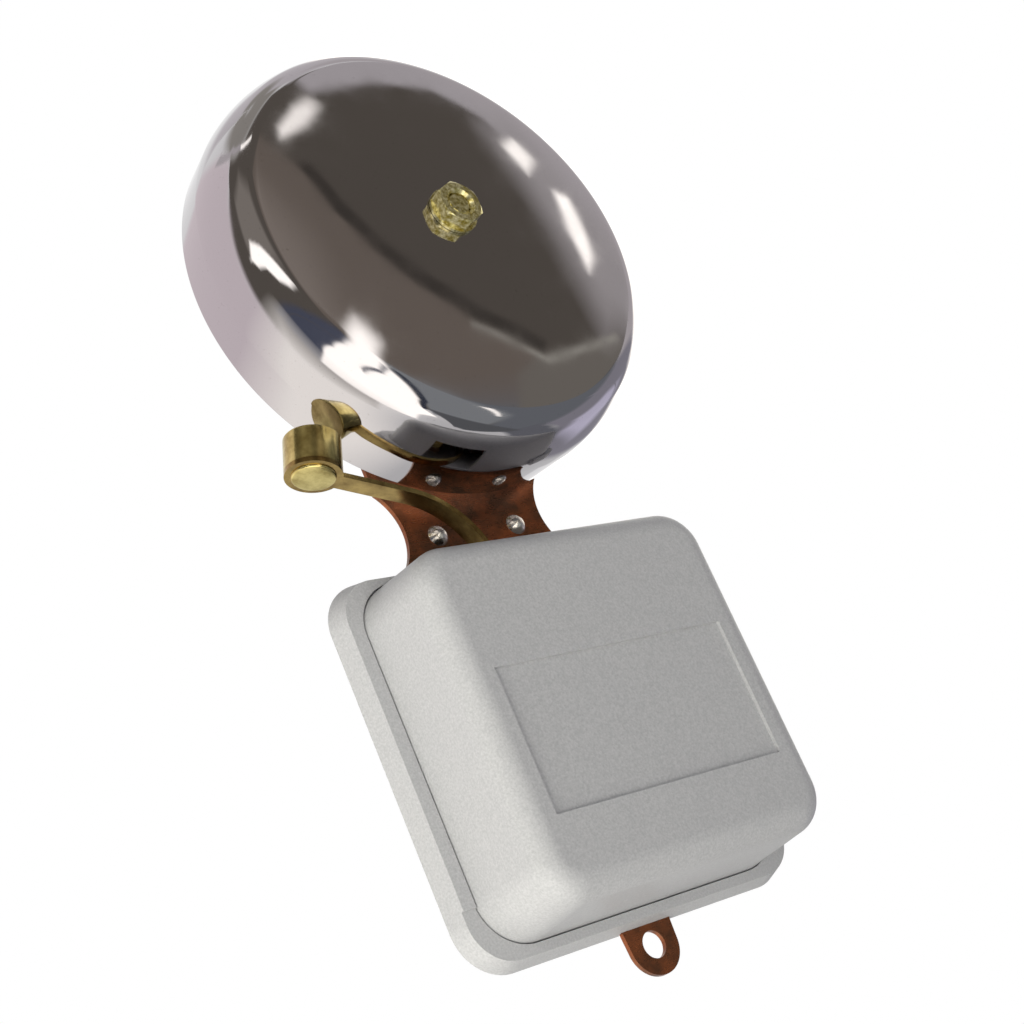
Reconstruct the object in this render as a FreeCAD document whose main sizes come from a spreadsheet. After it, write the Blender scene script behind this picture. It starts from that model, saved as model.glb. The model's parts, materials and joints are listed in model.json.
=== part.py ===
"""Small enclosed electric bell for a wall: a chromed gong on a riveted plate above a grey
housing that holds a make-and-break mechanism, with the striker arm leaving through its top.

Frame: millimetres, X to the right, Z up the wall, the wall at Y = 0 and the front towards -Y.
The origin is the centre of the screw hole in the lower lug, on the wall face.
Depths in the sizes below are measured from the wall towards the front, so Y = -depth.
"""

import FreeCAD
import Part
import Sketcher
import math
import os

DOC = FreeCAD.newDocument("electric_bell")
SHEET = DOC.addObject("Spreadsheet::Sheet", "Sizes")

# Driving sizes in millimetres, angles in degrees.
SIZES = [
    # plate on the wall
    ("plate_thick", 0.8), ("plate_wide_half", 26.0), ("plate_screw_clear", 3.1),
    ("plate_low_half", 9.0), ("plate_low_end", 8.0), ("plate_high_half", 16.0),
    ("plate_neck_half", 12.5), ("plate_neck_low", 67.5), ("plate_neck_high", 75.0),
    ("lug_radius", 4.5), ("lug_hole_radius", 2.05), ("lug_root_half", 4.7),
    ("lug_root_rise", 3.2),
    # gong bracket
    ("bracket_thick", 0.8), ("bracket_foot", 61.6), ("waist_height", 70.0),
    ("waist_half", 13.1), ("waist_curve", 9.5), ("waist_reach", 6.6),
    ("bracket_half", 15.7), ("bracket_flare", 0.35), ("bracket_round", 15.9),
    ("bracket_shoulder_drop", 7.0), ("keyhole_height", 86.0), ("keyhole_head_radius", 4.2),
    ("keyhole_slot_half", 2.15),
    ("keyhole_slot_rise", 7.5),
    ("rivet_x", 7.76), ("rivet_z", 68.4), ("rivet_head_radius", 1.8), ("rivet_head_height", 1.1),
    ("rivet_shank_radius", 1.2),
    # base tray
    ("tray_half", 31.93), ("tray_low", 2.8), ("tray_high", 63.1), ("tray_corner", 7.5),
    ("tray_depth", 3.6), ("tray_slope_angle", 16.5), ("tray_floor", 2.2), ("tray_notch_half", 19.8),
    ("relief_depth", 0.4), ("relief_height", 12.2), ("wire_hole_radius", 3.0),
    ("wire_hole_x", 14.5), ("wire_hole_z", 11.6),
    # cover
    ("cover_half", 28.5), ("cover_low", 5.4), ("cover_high", 60.9), ("cover_corner", 7.5),
    ("cover_front", 19.0), ("cover_draft_angle", 4.0), ("cover_wall", 1.4), ("cover_round", 3.8),
    ("label_half", 21.96), ("label_low", 18.1), ("label_high", 39.9), ("label_depth", 0.6),
    ("slot_left", 15.0), ("slot_right", 1.0), ("slot_depth", 13.6), ("slot_drop", 4.2),
    ("boss_radius", 2.6), ("boss_sink", 0.3),
    ("boss_x", 22.7), ("boss_low", 12.5), ("boss_high", 54.7),
    ("cover_screw_radius", 1.0), ("cover_screw_head", 2.0), ("cover_screw_grip", 9.0),
    ("cover_screw_spare", 2.2), ("cover_screw_point", 0.8), ("cover_screw_tip", 0.3),
    # gong, post and nut
    ("strike_gap", 0.55), ("gong_shift_x", 0.97), ("gong_shift_z", 1.19),
    ("gong_skirt_radius", 38.1), ("gong_flare", 0.6), ("gong_rim_depth", 6.1),
    ("gong_skirt_height", 6.9), ("gong_dome_rise", 2.55), ("gong_wall", 1.2),
    ("shoulder_curve", 19.0), ("shoulder_angle", 25.0), ("crown_curve", 4.8),
    ("crown_angle", 81.0), ("post_radius", 4.2), ("post_spigot_radius", 2.5),
    ("post_relief", 0.085), ("stud_radius", 2.0), ("stud_sunk", 0.5), ("stud_bevel", 0.3),
    ("bore_clearance", 0.15), ("washer_radius", 4.1), ("washer_thick", 0.5),
    ("nut_flats", 7.0), ("nut_height", 2.2), ("nut_bevel", 0.5),
    ("nut_bevel_slope", 0.6),
    # electromagnet
    ("core_depth", 9.5), ("core_low", 22.5), ("core_high", 40.5), ("core_radius", 3.0),
    ("pole_x", -3.0), ("yoke_x", 18.5), ("yoke_thick", 3.0), ("yoke_low", 17.6),
    ("yoke_high", 45.4), ("yoke_front", 15.5), ("yoke_foot_reach", 4.6), ("yoke_foot_thick", 1.5),
    ("yoke_screw_shift", 0.2),
    ("yoke_screw_trim", 0.3), ("yoke_screw_low", 24.0), ("yoke_screw_high", 39.0),
    ("bobbin_flange_radius", 6.7), ("bobbin_flange", 1.0), ("bobbin_tube_radius", 3.9),
    ("winding_radius", 6.2), ("pole_stand", 0.8), ("pole_bevel", 0.3), ("thread_spare", 0.4),
    ("fit_gap", 0.1),
    ("core_screw_radius", 1.5), ("core_screw_bite", 6.0),
    # armature, springs and arm
    ("armature_x", -6.2), ("armature_thick", 2.5), ("armature_low", 18.0), ("armature_high", 46.0),
    ("armature_width", 8.0), ("leaf_thick", 0.3), ("leaf_width", 6.0),
    ("leaf_high", 31.0), ("arm_thick", 0.8), ("arm_width", 3.2), ("arm_low", 33.0),
    ("arm_bend_low", 57.5), ("arm_bend_curve", 15.0), ("arm_bend_angle", 70.0),
    ("arm_reach", 15.15), ("arm_eye_radius", 4.3),
    ("striker_radius", 4.3), ("striker_length", 5.6), ("striker_bevel", 0.35),
    ("spigot_radius", 1.6), ("spigot_proud", 0.35),
    ("arm_rivet_low", 36.5), ("arm_rivet_high", 42.5), ("leaf_rivet_low", 22.0),
    ("leaf_rivet_high", 28.5), ("small_rivet_radius", 0.9), ("small_rivet_head", 1.5),
    ("small_rivet_rise", 0.7),
    # contact set
    ("contact_thick", 0.25), ("contact_width", 3.0), ("contact_start", 20.4),
    ("contact_bend_low", 30.6), ("contact_bend_high", 34.6), ("contact_offset", 2.2),
    ("contact_top", 47.0), ("contact_z", 44.0), ("tip_radius", 1.1), ("tip_height", 0.7), ("tip_bevel", 0.3),
    ("contact_gap", 0.05), ("contact_screw_radius", 1.5), ("contact_screw_nose", 0.9),
    ("nose_length", 0.8), ("knob_radius", 2.8), ("knob_length", 2.0), ("knob_clear", 1.6),
    ("contact_post_x", -15.0), ("contact_post_thick", 2.5), ("contact_post_low", 38.0),
    ("contact_post_high", 48.0), ("contact_post_front", 13.5), ("contact_foot_left", -21.0),
    ("contact_foot_low", 29.6), ("contact_foot_high", 40.0), ("contact_foot_thick", 1.5),
    ("locknut_flats", 5.5), ("locknut_height", 2.0),
    # insulating block, terminals, spring post
    ("block_left", -26.0), ("block_right", -11.5), ("block_thick", 3.4), ("block_bore", 2.7),
    ("terminal_left", -24.5), ("terminal_inset", 0.6), ("terminal_low", 18.6),
    ("terminal_high", 28.6), ("terminal_thick", 0.8), ("terminal_screw_x", -19.5),
    ("terminal_screw_z", 23.2), ("foot_screw_x", -17.8), ("foot_screw_z", 34.4),
    ("tip_clear", 0.2),
    ("screw_radius", 1.25), ("screw_head_radius", 2.2), ("screw_head_height", 1.3),
    ("screw_slot_half", 0.3), ("screw_slot_depth", 0.6),
    ("block_screw_x", -23.5), ("block_screw_low", 31.4), ("block_screw_drop", 3.0),
    ("leaf_post_thick", 2.0), ("leaf_post_low", 8.8), ("leaf_post_high", 13.8),
    ("leaf_post_front", 13.5), ("leaf_foot_right", 6.4), ("leaf_foot_thick", 1.5),
    ("leaf_screw_x", 2.4), ("clamp_thick", 0.8), ("clamp_inset", 0.4),
    ("clamp_screw_back", 7.6), ("clamp_screw_front", 11.4), ("clamp_screw_radius", 0.8),
    ("clamp_screw_head", 1.4), ("clamp_screw_rise", 0.9),
    ("lead_radius", 0.35), ("lead_plane", 27.0), ("lead_start", 3.4),
   
    ("lead_turn", -9.6), ("lead_end", -14.5), ("lead_post_x", 5.6), ("lead_post_end", 9.6),
    ("link_x", 15.5), ("hole_gap", 0.1), ("seat_gap", 0.02), ("overrun", 0.5),
]


class Size:
    """A number that also keeps how it was worked out from the named sizes."""

    def __init__(self, value, text):
        self.value = float(value)
        self.text = text

    def __add__(self, other):
        other = as_size(other)
        return Size(self.value + other.value, "(%s + %s)" % (self.text, other.text))

    def __sub__(self, other):
        other = as_size(other)
        return Size(self.value - other.value, "(%s - %s)" % (self.text, other.text))

    def __mul__(self, other):
        other = as_size(other)
        return Size(self.value * other.value, "(%s * %s)" % (self.text, other.text))

    def __truediv__(self, other):
        other = as_size(other)
        return Size(self.value / other.value, "(%s / %s)" % (self.text, other.text))

    def __neg__(self):
        return Size(-self.value, "(0 - %s)" % self.text)


def as_size(value):
    if isinstance(value, Size):
        return value
    return Size(value, "%.6f" % value if value >= 0 else "(0 - %.6f)" % -value)


def root(value):
    return Size(math.sqrt(value.value), "sqrt(%s)" % value.text)


def cosine(angle):
    return Size(math.cos(math.radians(angle.value)), "cos(%s)" % angle.text)


def sine(angle):
    return Size(math.sin(math.radians(angle.value)), "sin(%s)" % angle.text)


for row, (name, value) in enumerate(SIZES, start=1):
    SHEET.set("A%d" % row, name)
    SHEET.set("B%d" % row, str(value))
    SHEET.setAlias("B%d" % row, name)
DOC.recompute()


def size(name):
    return Size(float(SHEET.get(name)), "Sizes." + name)


ALL = {name: size(name) for name, value in SIZES}


class Named:
    """Gives each named size as an attribute."""

    def __getattr__(self, name):
        return ALL[name]


S = Named()
BODIES = []


def new_body(label):
    body = DOC.addObject("PartDesign::Body", label)
    body.Label = label
    body.AllowCompound = True
    body.Placement = FreeCAD.Placement()
    BODIES.append(body)
    return body


def plane_sketch(body, role, lift):
    """A sketch on one of the body's own origin planes, lifted along that plane's normal."""
    sketch = body.newObject("Sketcher::SketchObject", body.Name + "_sketch")
    origin = [f for f in body.Origin.OriginFeatures if f.Role == role][0]
    sketch.AttachmentSupport = [(origin, "")]
    sketch.MapMode = "FlatFace"
    lift = as_size(lift)
    sketch.AttachmentOffset = FreeCAD.Placement(
        FreeCAD.Vector(0, 0, lift.value), FreeCAD.Rotation())
    sketch.setExpression("AttachmentOffset.Base.z", lift.text)
    return sketch


def fix(sketch, index, point, x, y):
    """Pins one end of a piece of sketch geometry to a place given by two sizes."""
    for kind, value, axis in (("DistanceX", as_size(x), -2), ("DistanceY", as_size(y), -1)):
        if value.text == "0.000000":
            sketch.addConstraint(Sketcher.Constraint("PointOnObject", index, point, axis))
            continue
        number = sketch.addConstraint(
            Sketcher.Constraint(kind, -1, 1, index, point, value.value))
        sketch.setExpression("Constraints[%d]" % number, value.text)


def arc_between(start, end, radius):
    """Arc from start to end; a positive radius has its centre on the left of the travel."""
    sx, sy = start
    ex, ey = end
    half = math.hypot(ex - sx, ey - sy) / 2
    rise = math.sqrt(max(radius * radius - half * half, 0.0))
    side = 1.0 if radius > 0 else -1.0
    nx = -(ey - sy) / (2 * half)
    ny = (ex - sx) / (2 * half)
    cx = (sx + ex) / 2 + nx * rise * side
    cy = (sy + ey) / 2 + ny * rise * side
    first = math.atan2(sy - cy, sx - cx)
    last = math.atan2(ey - cy, ex - cx)
    circle = Part.Circle(FreeCAD.Vector(cx, cy, 0), FreeCAD.Vector(0, 0, 1), abs(radius))
    if side > 0:
        return Part.ArcOfCircle(circle, first, last), 1, 2
    return Part.ArcOfCircle(circle, last, first), 2, 1


def outline(sketch, points, closed=True):
    """Draws a chain of lines and arcs. A point is (x, y), or (x, y, radius, side) when the
    piece that leaves it is an arc, with side 1 for a centre on the left and -1 on the right."""
    pieces = []
    count = len(points) if closed else len(points) - 1
    for k in range(count):
        here = points[k]
        there = points[(k + 1) % len(points)]
        start = (as_size(here[0]).value, as_size(here[1]).value)
        end = (as_size(there[0]).value, as_size(there[1]).value)
        if len(here) == 4:
            arc, first, last = arc_between(start, end, as_size(here[2]).value * here[3])
            index = sketch.addGeometry(arc)
            number = sketch.addConstraint(
                Sketcher.Constraint("Radius", index, as_size(here[2]).value))
            sketch.setExpression("Constraints[%d]" % number, as_size(here[2]).text)
        else:
            line = Part.LineSegment(FreeCAD.Vector(start[0], start[1], 0),
                                    FreeCAD.Vector(end[0], end[1], 0))
            index = sketch.addGeometry(line)
            first, last = 1, 2
        pieces.append((index, first, last))
        fix(sketch, index, first, here[0], here[1])
    for k in range(len(pieces) if closed else len(pieces) - 1):
        here = pieces[k]
        there = pieces[(k + 1) % len(pieces)]
        sketch.addConstraint(Sketcher.Constraint("Coincident", here[0], here[2],
                                                 there[0], there[1]))
    if not closed:
        fix(sketch, pieces[-1][0], pieces[-1][2], points[-1][0], points[-1][1])
    return pieces


def ring(sketch, x, y, radius):
    """A full circle with its centre and radius tied to sizes."""
    x, y, radius = as_size(x), as_size(y), as_size(radius)
    index = sketch.addGeometry(Part.Circle(FreeCAD.Vector(x.value, y.value, 0),
                                           FreeCAD.Vector(0, 0, 1), radius.value))
    fix(sketch, index, 3, x, y)
    number = sketch.addConstraint(Sketcher.Constraint("Radius", index, radius.value))
    sketch.setExpression("Constraints[%d]" % number, radius.text)


def box_points(left, right, low, high):
    return [(left, low), (right, low), (right, high), (left, high)]


def round_box_points(left, right, low, high, corner):
    left, right, low, high = (as_size(v) for v in (left, right, low, high))
    return [
        (left + corner, low), (right - corner, low, corner, 1),
        (right, low + corner), (right, high - corner, corner, 1),
        (right - corner, high), (left + corner, high, corner, 1),
        (left, high - corner), (left, low + corner, corner, 1),
    ]


def raise_pad(body, sketch, length, slope=None):
    """Adds material from the sketch along its normal; a slope draws the sides in."""
    pad = body.newObject("PartDesign::Pad", body.Name + "_pad")
    pad.Profile = sketch
    length = as_size(length)
    pad.Length = length.value
    pad.setExpression("Length", length.text)
    if slope is not None:
        pad.TaperAngle = slope.value
        pad.setExpression("TaperAngle", slope.text)
    DOC.recompute()
    return pad


def cut_pocket(body, sketch, length, slope=None):
    """Cuts from the sketch along its normal and makes sure that material has gone."""
    before = body.Shape.Volume
    pocket = body.newObject("PartDesign::Pocket", body.Name + "_pocket")
    pocket.Profile = sketch
    pocket.Reversed = True
    length = as_size(length)
    pocket.Length = length.value
    pocket.setExpression("Length", length.text)
    if slope is not None:
        pocket.TaperAngle = slope.value
        pocket.setExpression("TaperAngle", slope.text)
    DOC.recompute()
    if body.Shape.Volume > before - 1e-3:
        raise RuntimeError("a cut in %s removes nothing" % body.Label)
    return pocket


def plate(body, lift, thick, points, holes=()):
    """A flat piece parallel to the wall, from depth lift to lift + thick."""
    sketch = plane_sketch(body, "XZ_Plane", lift)
    outline(sketch, points)
    for x, y, radius in holes:
        ring(sketch, x, y, radius)
    return raise_pad(body, sketch, thick)


def cut_plate(body, lift, thick, points=None, holes=()):
    sketch = plane_sketch(body, "XZ_Plane", lift)
    if points is not None:
        outline(sketch, points)
    for x, y, radius in holes:
        ring(sketch, x, y, radius)
    return cut_pocket(body, sketch, thick)


def cut_through(body, lift, thick, points=None, holes=()):
    """Cuts right through a flat piece that lies from depth lift to lift + thick."""
    return cut_plate(body, as_size(lift) - S.overrun, thick + S.overrun * 2, points, holes)


def cut_side(body, left, thick, holes):
    """Holes along X through a piece from left to left + thick; each is (depth, z, radius)."""
    sketch = plane_sketch(body, "YZ_Plane", left - S.overrun)
    for depth, z, radius in holes:
        ring(sketch, -as_size(depth), z, radius)
    return cut_pocket(body, sketch, thick + S.overrun * 2)


def turn_about(body, sketch, start, end, cut=False):
    """Turns the sketch a full round about a line in it."""
    line = Part.LineSegment(
        FreeCAD.Vector(as_size(start[0]).value, as_size(start[1]).value, 0),
        FreeCAD.Vector(as_size(end[0]).value, as_size(end[1]).value, 0))
    index = sketch.addGeometry(line, True)
    fix(sketch, index, 1, start[0], start[1])
    fix(sketch, index, 2, end[0], end[1])
    before = body.Shape.Volume if cut else 0.0
    kind = "PartDesign::Groove" if cut else "PartDesign::Revolution"
    turn = body.newObject(kind, body.Name + "_turn")
    turn.Profile = sketch
    turn.ReferenceAxis = (sketch, ["Axis0"])
    turn.Angle = 360.0
    DOC.recompute()
    if cut and body.Shape.Volume > before - 1e-4:
        raise RuntimeError("a groove in %s removes nothing" % body.Label)
    return turn


def turned(body, along, centre, height, profile, cut=False):
    """A piece turned about a line in a level plane. along is "x" or "y"; for "y" centre is
    the X of the axis and stations are depths, for "x" centre is the depth of the axis and
    stations are X. profile lists (station, radius), with an arc's radius and side where the
    stretch that leaves the point is an arc."""
    sketch = plane_sketch(body, "XY_Plane", height)
    centre = as_size(centre)
    points = []
    for entry in profile:
        station, radius = as_size(entry[0]), as_size(entry[1])
        place = (centre + radius, -station) if along == "y" else (station, -centre - radius)
        points.append(place + tuple(entry[2:]))
    outline(sketch, points)
    first = as_size(profile[0][0])
    last = first + S.overrun
    if along == "y":
        return turn_about(body, sketch, (centre, -first), (centre, -last), cut)
    return turn_about(body, sketch, (first, -centre), (last, -centre), cut)


def round_edges(body, base, picks, radius, kind="PartDesign::Fillet"):
    """Fillets or chamfers the edges of the base feature that the test picks."""
    names = []
    for number, edge in enumerate(base.Shape.Edges, start=1):
        if picks(edge):
            names.append("Edge%d" % number)
    if not names:
        raise RuntimeError("no edge to round in %s" % body.Label)
    feature = body.newObject(kind, body.Name + "_edges")
    feature.Base = (base, names)
    radius = as_size(radius)
    if kind == "PartDesign::Fillet":
        feature.Radius = radius.value
        feature.setExpression("Radius", radius.text)
    else:
        feature.Size = radius.value
        feature.setExpression("Size", radius.text)
    DOC.recompute()
    return feature


def edge_at_depth(depth):
    """Edges that lie wholly at one depth from the wall."""
    def test(edge):
        box = edge.BoundBox
        return abs(box.YMin + depth.value) < 0.02 and abs(box.YMax + depth.value) < 0.02
    return test


def slotted_screws(label, along, seats, seat, tip, shank_radius, head_radius):
    """Slotted screws alike, one for each place (centre, height): the head stands out from
    the seat and the shank runs back to the tip."""
    body = new_body(label)
    head = seat + S.screw_head_height
    for centre, height in seats:
        turned(body, along, centre, height, [
            (head, 0), (head, head_radius), (seat, head_radius), (seat, shank_radius),
            (tip, shank_radius), (tip, 0)])
    role = "XZ_Plane" if along == "y" else "YZ_Plane"
    sketch = plane_sketch(body, role, head - S.screw_slot_depth)
    for centre, height in seats:
        middle = as_size(centre) if along == "y" else -as_size(centre)
        outline(sketch, box_points(middle - head_radius - S.overrun,
                                   middle + head_radius + S.overrun,
                                   height - S.screw_slot_half, height + S.screw_slot_half))
    cut_pocket(body, sketch, S.screw_slot_depth + S.overrun)
    return body


def hex_points(x, y, flats):
    """Corners of a hexagon with the given distance across its flats."""
    points = []
    for k in range(6):
        angle = as_size(60.0 * k + 30.0)
        reach = flats / as_size(math.sqrt(3.0))
        points.append((as_size(x) + reach * cosine(angle), as_size(y) + reach * sine(angle)))
    return points


def dome_curve(radius, rise):
    """Radius of the arc that rises by rise over a half width of radius."""
    return (radius * radius + rise * rise) / (rise * 2)


def wire(body, role, lift, points, start_role, start_lift, start):
    """A round lead along a smooth chain of straight runs and arcs in one plane."""
    path = plane_sketch(body, role, lift)
    pieces = outline(path, points, closed=False)
    section = plane_sketch(body, start_role, start_lift)
    ring(section, start[0], start[1], S.lead_radius)
    pipe = body.newObject("PartDesign::AdditivePipe", body.Name + "_pipe")
    pipe.Profile = section
    pipe.Spine = (path, ["Edge%d" % (k + 1) for k in range(len(pieces))])
    DOC.recompute()
    return pipe


def tilted_disc(body, start, thick, radius, cut=False):
    """A disc at the end of the arm, square to its face; start is the height of the disc's
    near side above the arm's lower face."""
    sketch = body.newObject("Sketcher::SketchObject", body.Name + "_disc")
    origin = [f for f in body.Origin.OriginFeatures if f.Role == "XY_Plane"][0]
    sketch.AttachmentSupport = [(origin, "")]
    sketch.MapMode = "FlatFace"
    x, z = on_arm(S.arm_reach, start)
    sketch.AttachmentOffset = FreeCAD.Placement(
        FreeCAD.Vector(x.value, -S.core_depth.value, z.value),
        FreeCAD.Rotation(FreeCAD.Vector(0, 1, 0), 90.0 - S.arm_bend_angle.value))
    sketch.setExpression("AttachmentOffset.Base.x", x.text)
    sketch.setExpression("AttachmentOffset.Base.y", "0 - " + S.core_depth.text)
    sketch.setExpression("AttachmentOffset.Base.z", z.text)
    sketch.setExpression("AttachmentOffset.Rotation.Axis.x", "0")
    sketch.setExpression("AttachmentOffset.Rotation.Axis.y", "1")
    sketch.setExpression("AttachmentOffset.Rotation.Axis.z", "0")
    sketch.setExpression("AttachmentOffset.Rotation.Angle", "90 - " + S.arm_bend_angle.text)
    ring(sketch, 0, 0, radius)
    if cut:
        return cut_pocket(body, sketch, thick)
    return raise_pad(body, sketch, thick)


# Places shared by several pieces
plate_wide_low = S.boss_low + S.cover_screw_head + S.plate_screw_clear
plate_wide_high = S.boss_high - S.cover_screw_head - S.plate_screw_clear
bracket_front = S.plate_thick + S.bracket_thick
tapped = S.screw_radius + S.hole_gap
cover_screw_seats = [(-S.boss_x, S.boss_low), (S.boss_x, S.boss_low),
                     (S.boss_x, S.boss_high), (-S.boss_x, S.boss_high)]
block_screw_seats = [(S.block_screw_x, S.block_screw_low),
                     (S.block_screw_x, plate_wide_high - S.block_screw_drop)]
yoke_foot_left = S.yoke_x + S.yoke_thick
yoke_foot_right = yoke_foot_left + S.yoke_foot_reach
yoke_screw_x = (yoke_foot_left + yoke_foot_right) / 2 + S.yoke_screw_shift
yoke_screw_seats = [(yoke_screw_x, S.yoke_screw_low), (yoke_screw_x, S.yoke_screw_high)]
leaf_screw_z = (S.leaf_post_low + S.leaf_post_high) / 2
base_screw_holes = [(x, z, tapped) for x, z in block_screw_seats + yoke_screw_seats]
base_screw_holes.append((S.leaf_screw_x, leaf_screw_z, tapped))
rivet_holes = [(S.rivet_x * side, S.rivet_z, S.rivet_shank_radius + S.seat_gap)
               for side in (-1, 1)]

# Striker arm line, which the gong's place follows
arm_left = S.armature_x - S.arm_thick
bend_x = arm_left - S.arm_bend_curve
bend_outer = S.arm_bend_curve + S.arm_thick
turn_cos = cosine(S.arm_bend_angle)
turn_sin = sine(S.arm_bend_angle)


def on_arm(run, lift):
    """A point beside the straight end of the arm: run along it from the bend, lift off it."""
    reach = lift + S.arm_bend_curve
    x = bend_x + turn_cos * reach - turn_sin * run
    z = S.arm_bend_low + turn_sin * reach + turn_cos * run
    return x, z


# The striker's bevelled corner comes within the strike gap of the gong's skirt
corner_x, corner_z = on_arm(S.arm_reach - S.striker_radius + S.striker_bevel,
                            S.arm_thick + S.striker_length)
corner_x_to_gong = S.gong_shift_x - corner_x
corner_to_gong = S.gong_skirt_radius + S.strike_gap
gong_x = S.gong_shift_x
gong_z = corner_z + root(corner_to_gong * corner_to_gong - corner_x_to_gong * corner_x_to_gong)
post_z = gong_z + S.gong_shift_z

# Wall plate with the lower lug, inside and above the housing
chassis = new_body("chassis_plate")
neck_foot = S.tray_high - S.lug_root_rise / 8
right_side = [
    (S.lug_root_half, S.lug_root_rise), (S.lug_root_half, S.plate_low_end),
    (S.plate_low_half, S.plate_low_end), (S.plate_low_half, plate_wide_low),
    (S.plate_wide_half, plate_wide_low), (S.plate_wide_half, plate_wide_high),
    (S.plate_high_half, plate_wide_high), (S.plate_high_half, neck_foot),
    (S.plate_neck_half, S.plate_neck_low), (S.plate_neck_half, S.plate_neck_high)]
left_side = [(-x, z) for x, z in reversed(right_side)]
lug_end = [(-S.lug_radius, 0, S.lug_radius, 1), (0, -S.lug_radius, S.lug_radius, 1),
           (S.lug_radius, 0)]
plate(chassis, 0, S.plate_thick, lug_end + right_side + left_side,
      holes=[(0, 0, S.lug_hole_radius)])
cut_through(chassis, 0, S.plate_thick, holes=rivet_holes + base_screw_holes)

# Gong bracket riveted in front of the plate: waisted neck, rounded head, keyhole
bracket = new_body("gong_bracket")
waist_low = S.waist_height - S.waist_reach
waist_top = S.waist_height + S.waist_reach
waist_side = S.bracket_half + S.bracket_flare
shoulder = post_z - S.bracket_shoulder_drop
plate(bracket, S.plate_thick, S.bracket_thick, [
    (-S.bracket_half, S.bracket_foot), (S.bracket_half, S.bracket_foot),
    (waist_side, waist_low, S.waist_curve, -1), (waist_side, waist_top),
    (S.bracket_half, shoulder), (S.bracket_half, post_z, S.bracket_round, 1),
    (-S.bracket_half, post_z), (-S.bracket_half, shoulder),
    (-waist_side, waist_top, S.waist_curve, -1), (-waist_side, waist_low),
], holes=rivet_holes + [(0, post_z, S.post_spigot_radius + S.seat_gap)])
cut_through(bracket, S.plate_thick, S.bracket_thick,
            holes=[(0, S.keyhole_height, S.keyhole_head_radius)])
slot_end = S.keyhole_height + S.keyhole_slot_rise
cut_through(bracket, S.plate_thick, S.bracket_thick, points=[
    (-S.keyhole_slot_half, S.keyhole_height), (S.keyhole_slot_half, S.keyhole_height),
    (S.keyhole_slot_half, slot_end, S.keyhole_slot_half, 1),
    (0, slot_end + S.keyhole_slot_half, S.keyhole_slot_half, 1),
    (-S.keyhole_slot_half, slot_end)])

# Two domed rivets through the bracket and the plate
rivets = new_body("bracket_rivets")
head_curve = dome_curve(S.rivet_head_radius, S.rivet_head_height)
for side in (-1, 1):
    turned(rivets, "y", S.rivet_x * side, S.rivet_z, [
        (0, 0), (0, S.rivet_shank_radius), (bracket_front, S.rivet_shank_radius),
        (bracket_front, S.rivet_head_radius, head_curve, -1),
        (bracket_front + S.rivet_head_height, 0)])

# Base tray: sloping rim, rebate for the cover, pocket in the back for the plate
tray = new_body("base_tray")
sketch = plane_sketch(tray, "XZ_Plane", 0)
outline(sketch, round_box_points(-S.tray_half, S.tray_half, S.tray_low, S.tray_high,
                                 S.tray_corner))
raise_pad(tray, sketch, S.tray_depth, -S.tray_slope_angle)
rebate = S.hole_gap * 1.5
beyond = S.tray_half + S.overrun
above = S.tray_high + S.overrun
below = S.tray_low - S.overrun
cut_plate(tray, S.tray_floor, S.tray_depth, points=round_box_points(
    -S.cover_half - rebate, S.cover_half + rebate, S.cover_low - rebate, S.cover_high + rebate,
    S.cover_corner + rebate))
cut_plate(tray, S.tray_depth - S.relief_depth, S.relief_depth + S.overrun,
          points=box_points(-beyond, beyond, below, S.relief_height))
cut_through(tray, 0, S.tray_depth, points=box_points(
    -S.tray_notch_half, S.tray_notch_half, S.cover_high + rebate, above))
pocket_gap = S.hole_gap * 2
back = -S.overrun
pocket_depth = S.plate_thick + S.overrun
for half, low, high in (
        (S.plate_wide_half, plate_wide_low - pocket_gap, plate_wide_high + pocket_gap),
        (S.plate_high_half, plate_wide_high, above),
        (S.plate_low_half, S.plate_low_end - pocket_gap, plate_wide_low),
        (S.lug_root_half, below, S.plate_low_end)):
    cut_plate(tray, back, pocket_depth, points=box_points(
        -half - pocket_gap, half + pocket_gap, low, high))
cut_through(tray, 0, S.tray_floor, holes=base_screw_holes + [
    (-S.wire_hole_x, S.wire_hole_z, S.wire_hole_radius)] + [
    (x, z, S.cover_screw_radius + S.hole_gap) for x, z in cover_screw_seats])
screw_seat = S.tray_floor / 2
cut_plate(tray, back, screw_seat + S.overrun, holes=[
    (x, z, S.cover_screw_head + S.hole_gap) for x, z in cover_screw_seats])

# Cover: drafted shell with rounded front, recess for a nameplate, slot for the arm, bosses
cover = new_body("cover")
cover_height = S.cover_front - S.tray_floor
sketch = plane_sketch(cover, "XZ_Plane", S.tray_floor)
outline(sketch, round_box_points(-S.cover_half, S.cover_half, S.cover_low, S.cover_high,
                                 S.cover_corner))
block = raise_pad(cover, sketch, cover_height, -S.cover_draft_angle)
round_edges(cover, block, edge_at_depth(S.cover_front), S.cover_round)
sketch = plane_sketch(cover, "XZ_Plane", S.tray_floor)
outline(sketch, round_box_points(
    -S.cover_half + S.cover_wall, S.cover_half - S.cover_wall, S.cover_low + S.cover_wall,
    S.cover_high - S.cover_wall, S.cover_corner - S.cover_wall))
inside = cut_pocket(cover, sketch, cover_height - S.cover_wall, -S.cover_draft_angle)
inner_front = S.cover_front - S.cover_wall
round_edges(cover, inside, edge_at_depth(inner_front), S.cover_round - S.cover_wall)
sketch = plane_sketch(cover, "XZ_Plane", S.tray_floor)
for x, z in cover_screw_seats:
    ring(sketch, x, z, S.boss_radius)
raise_pad(cover, sketch, cover_height - S.cover_wall + S.boss_sink)
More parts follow.
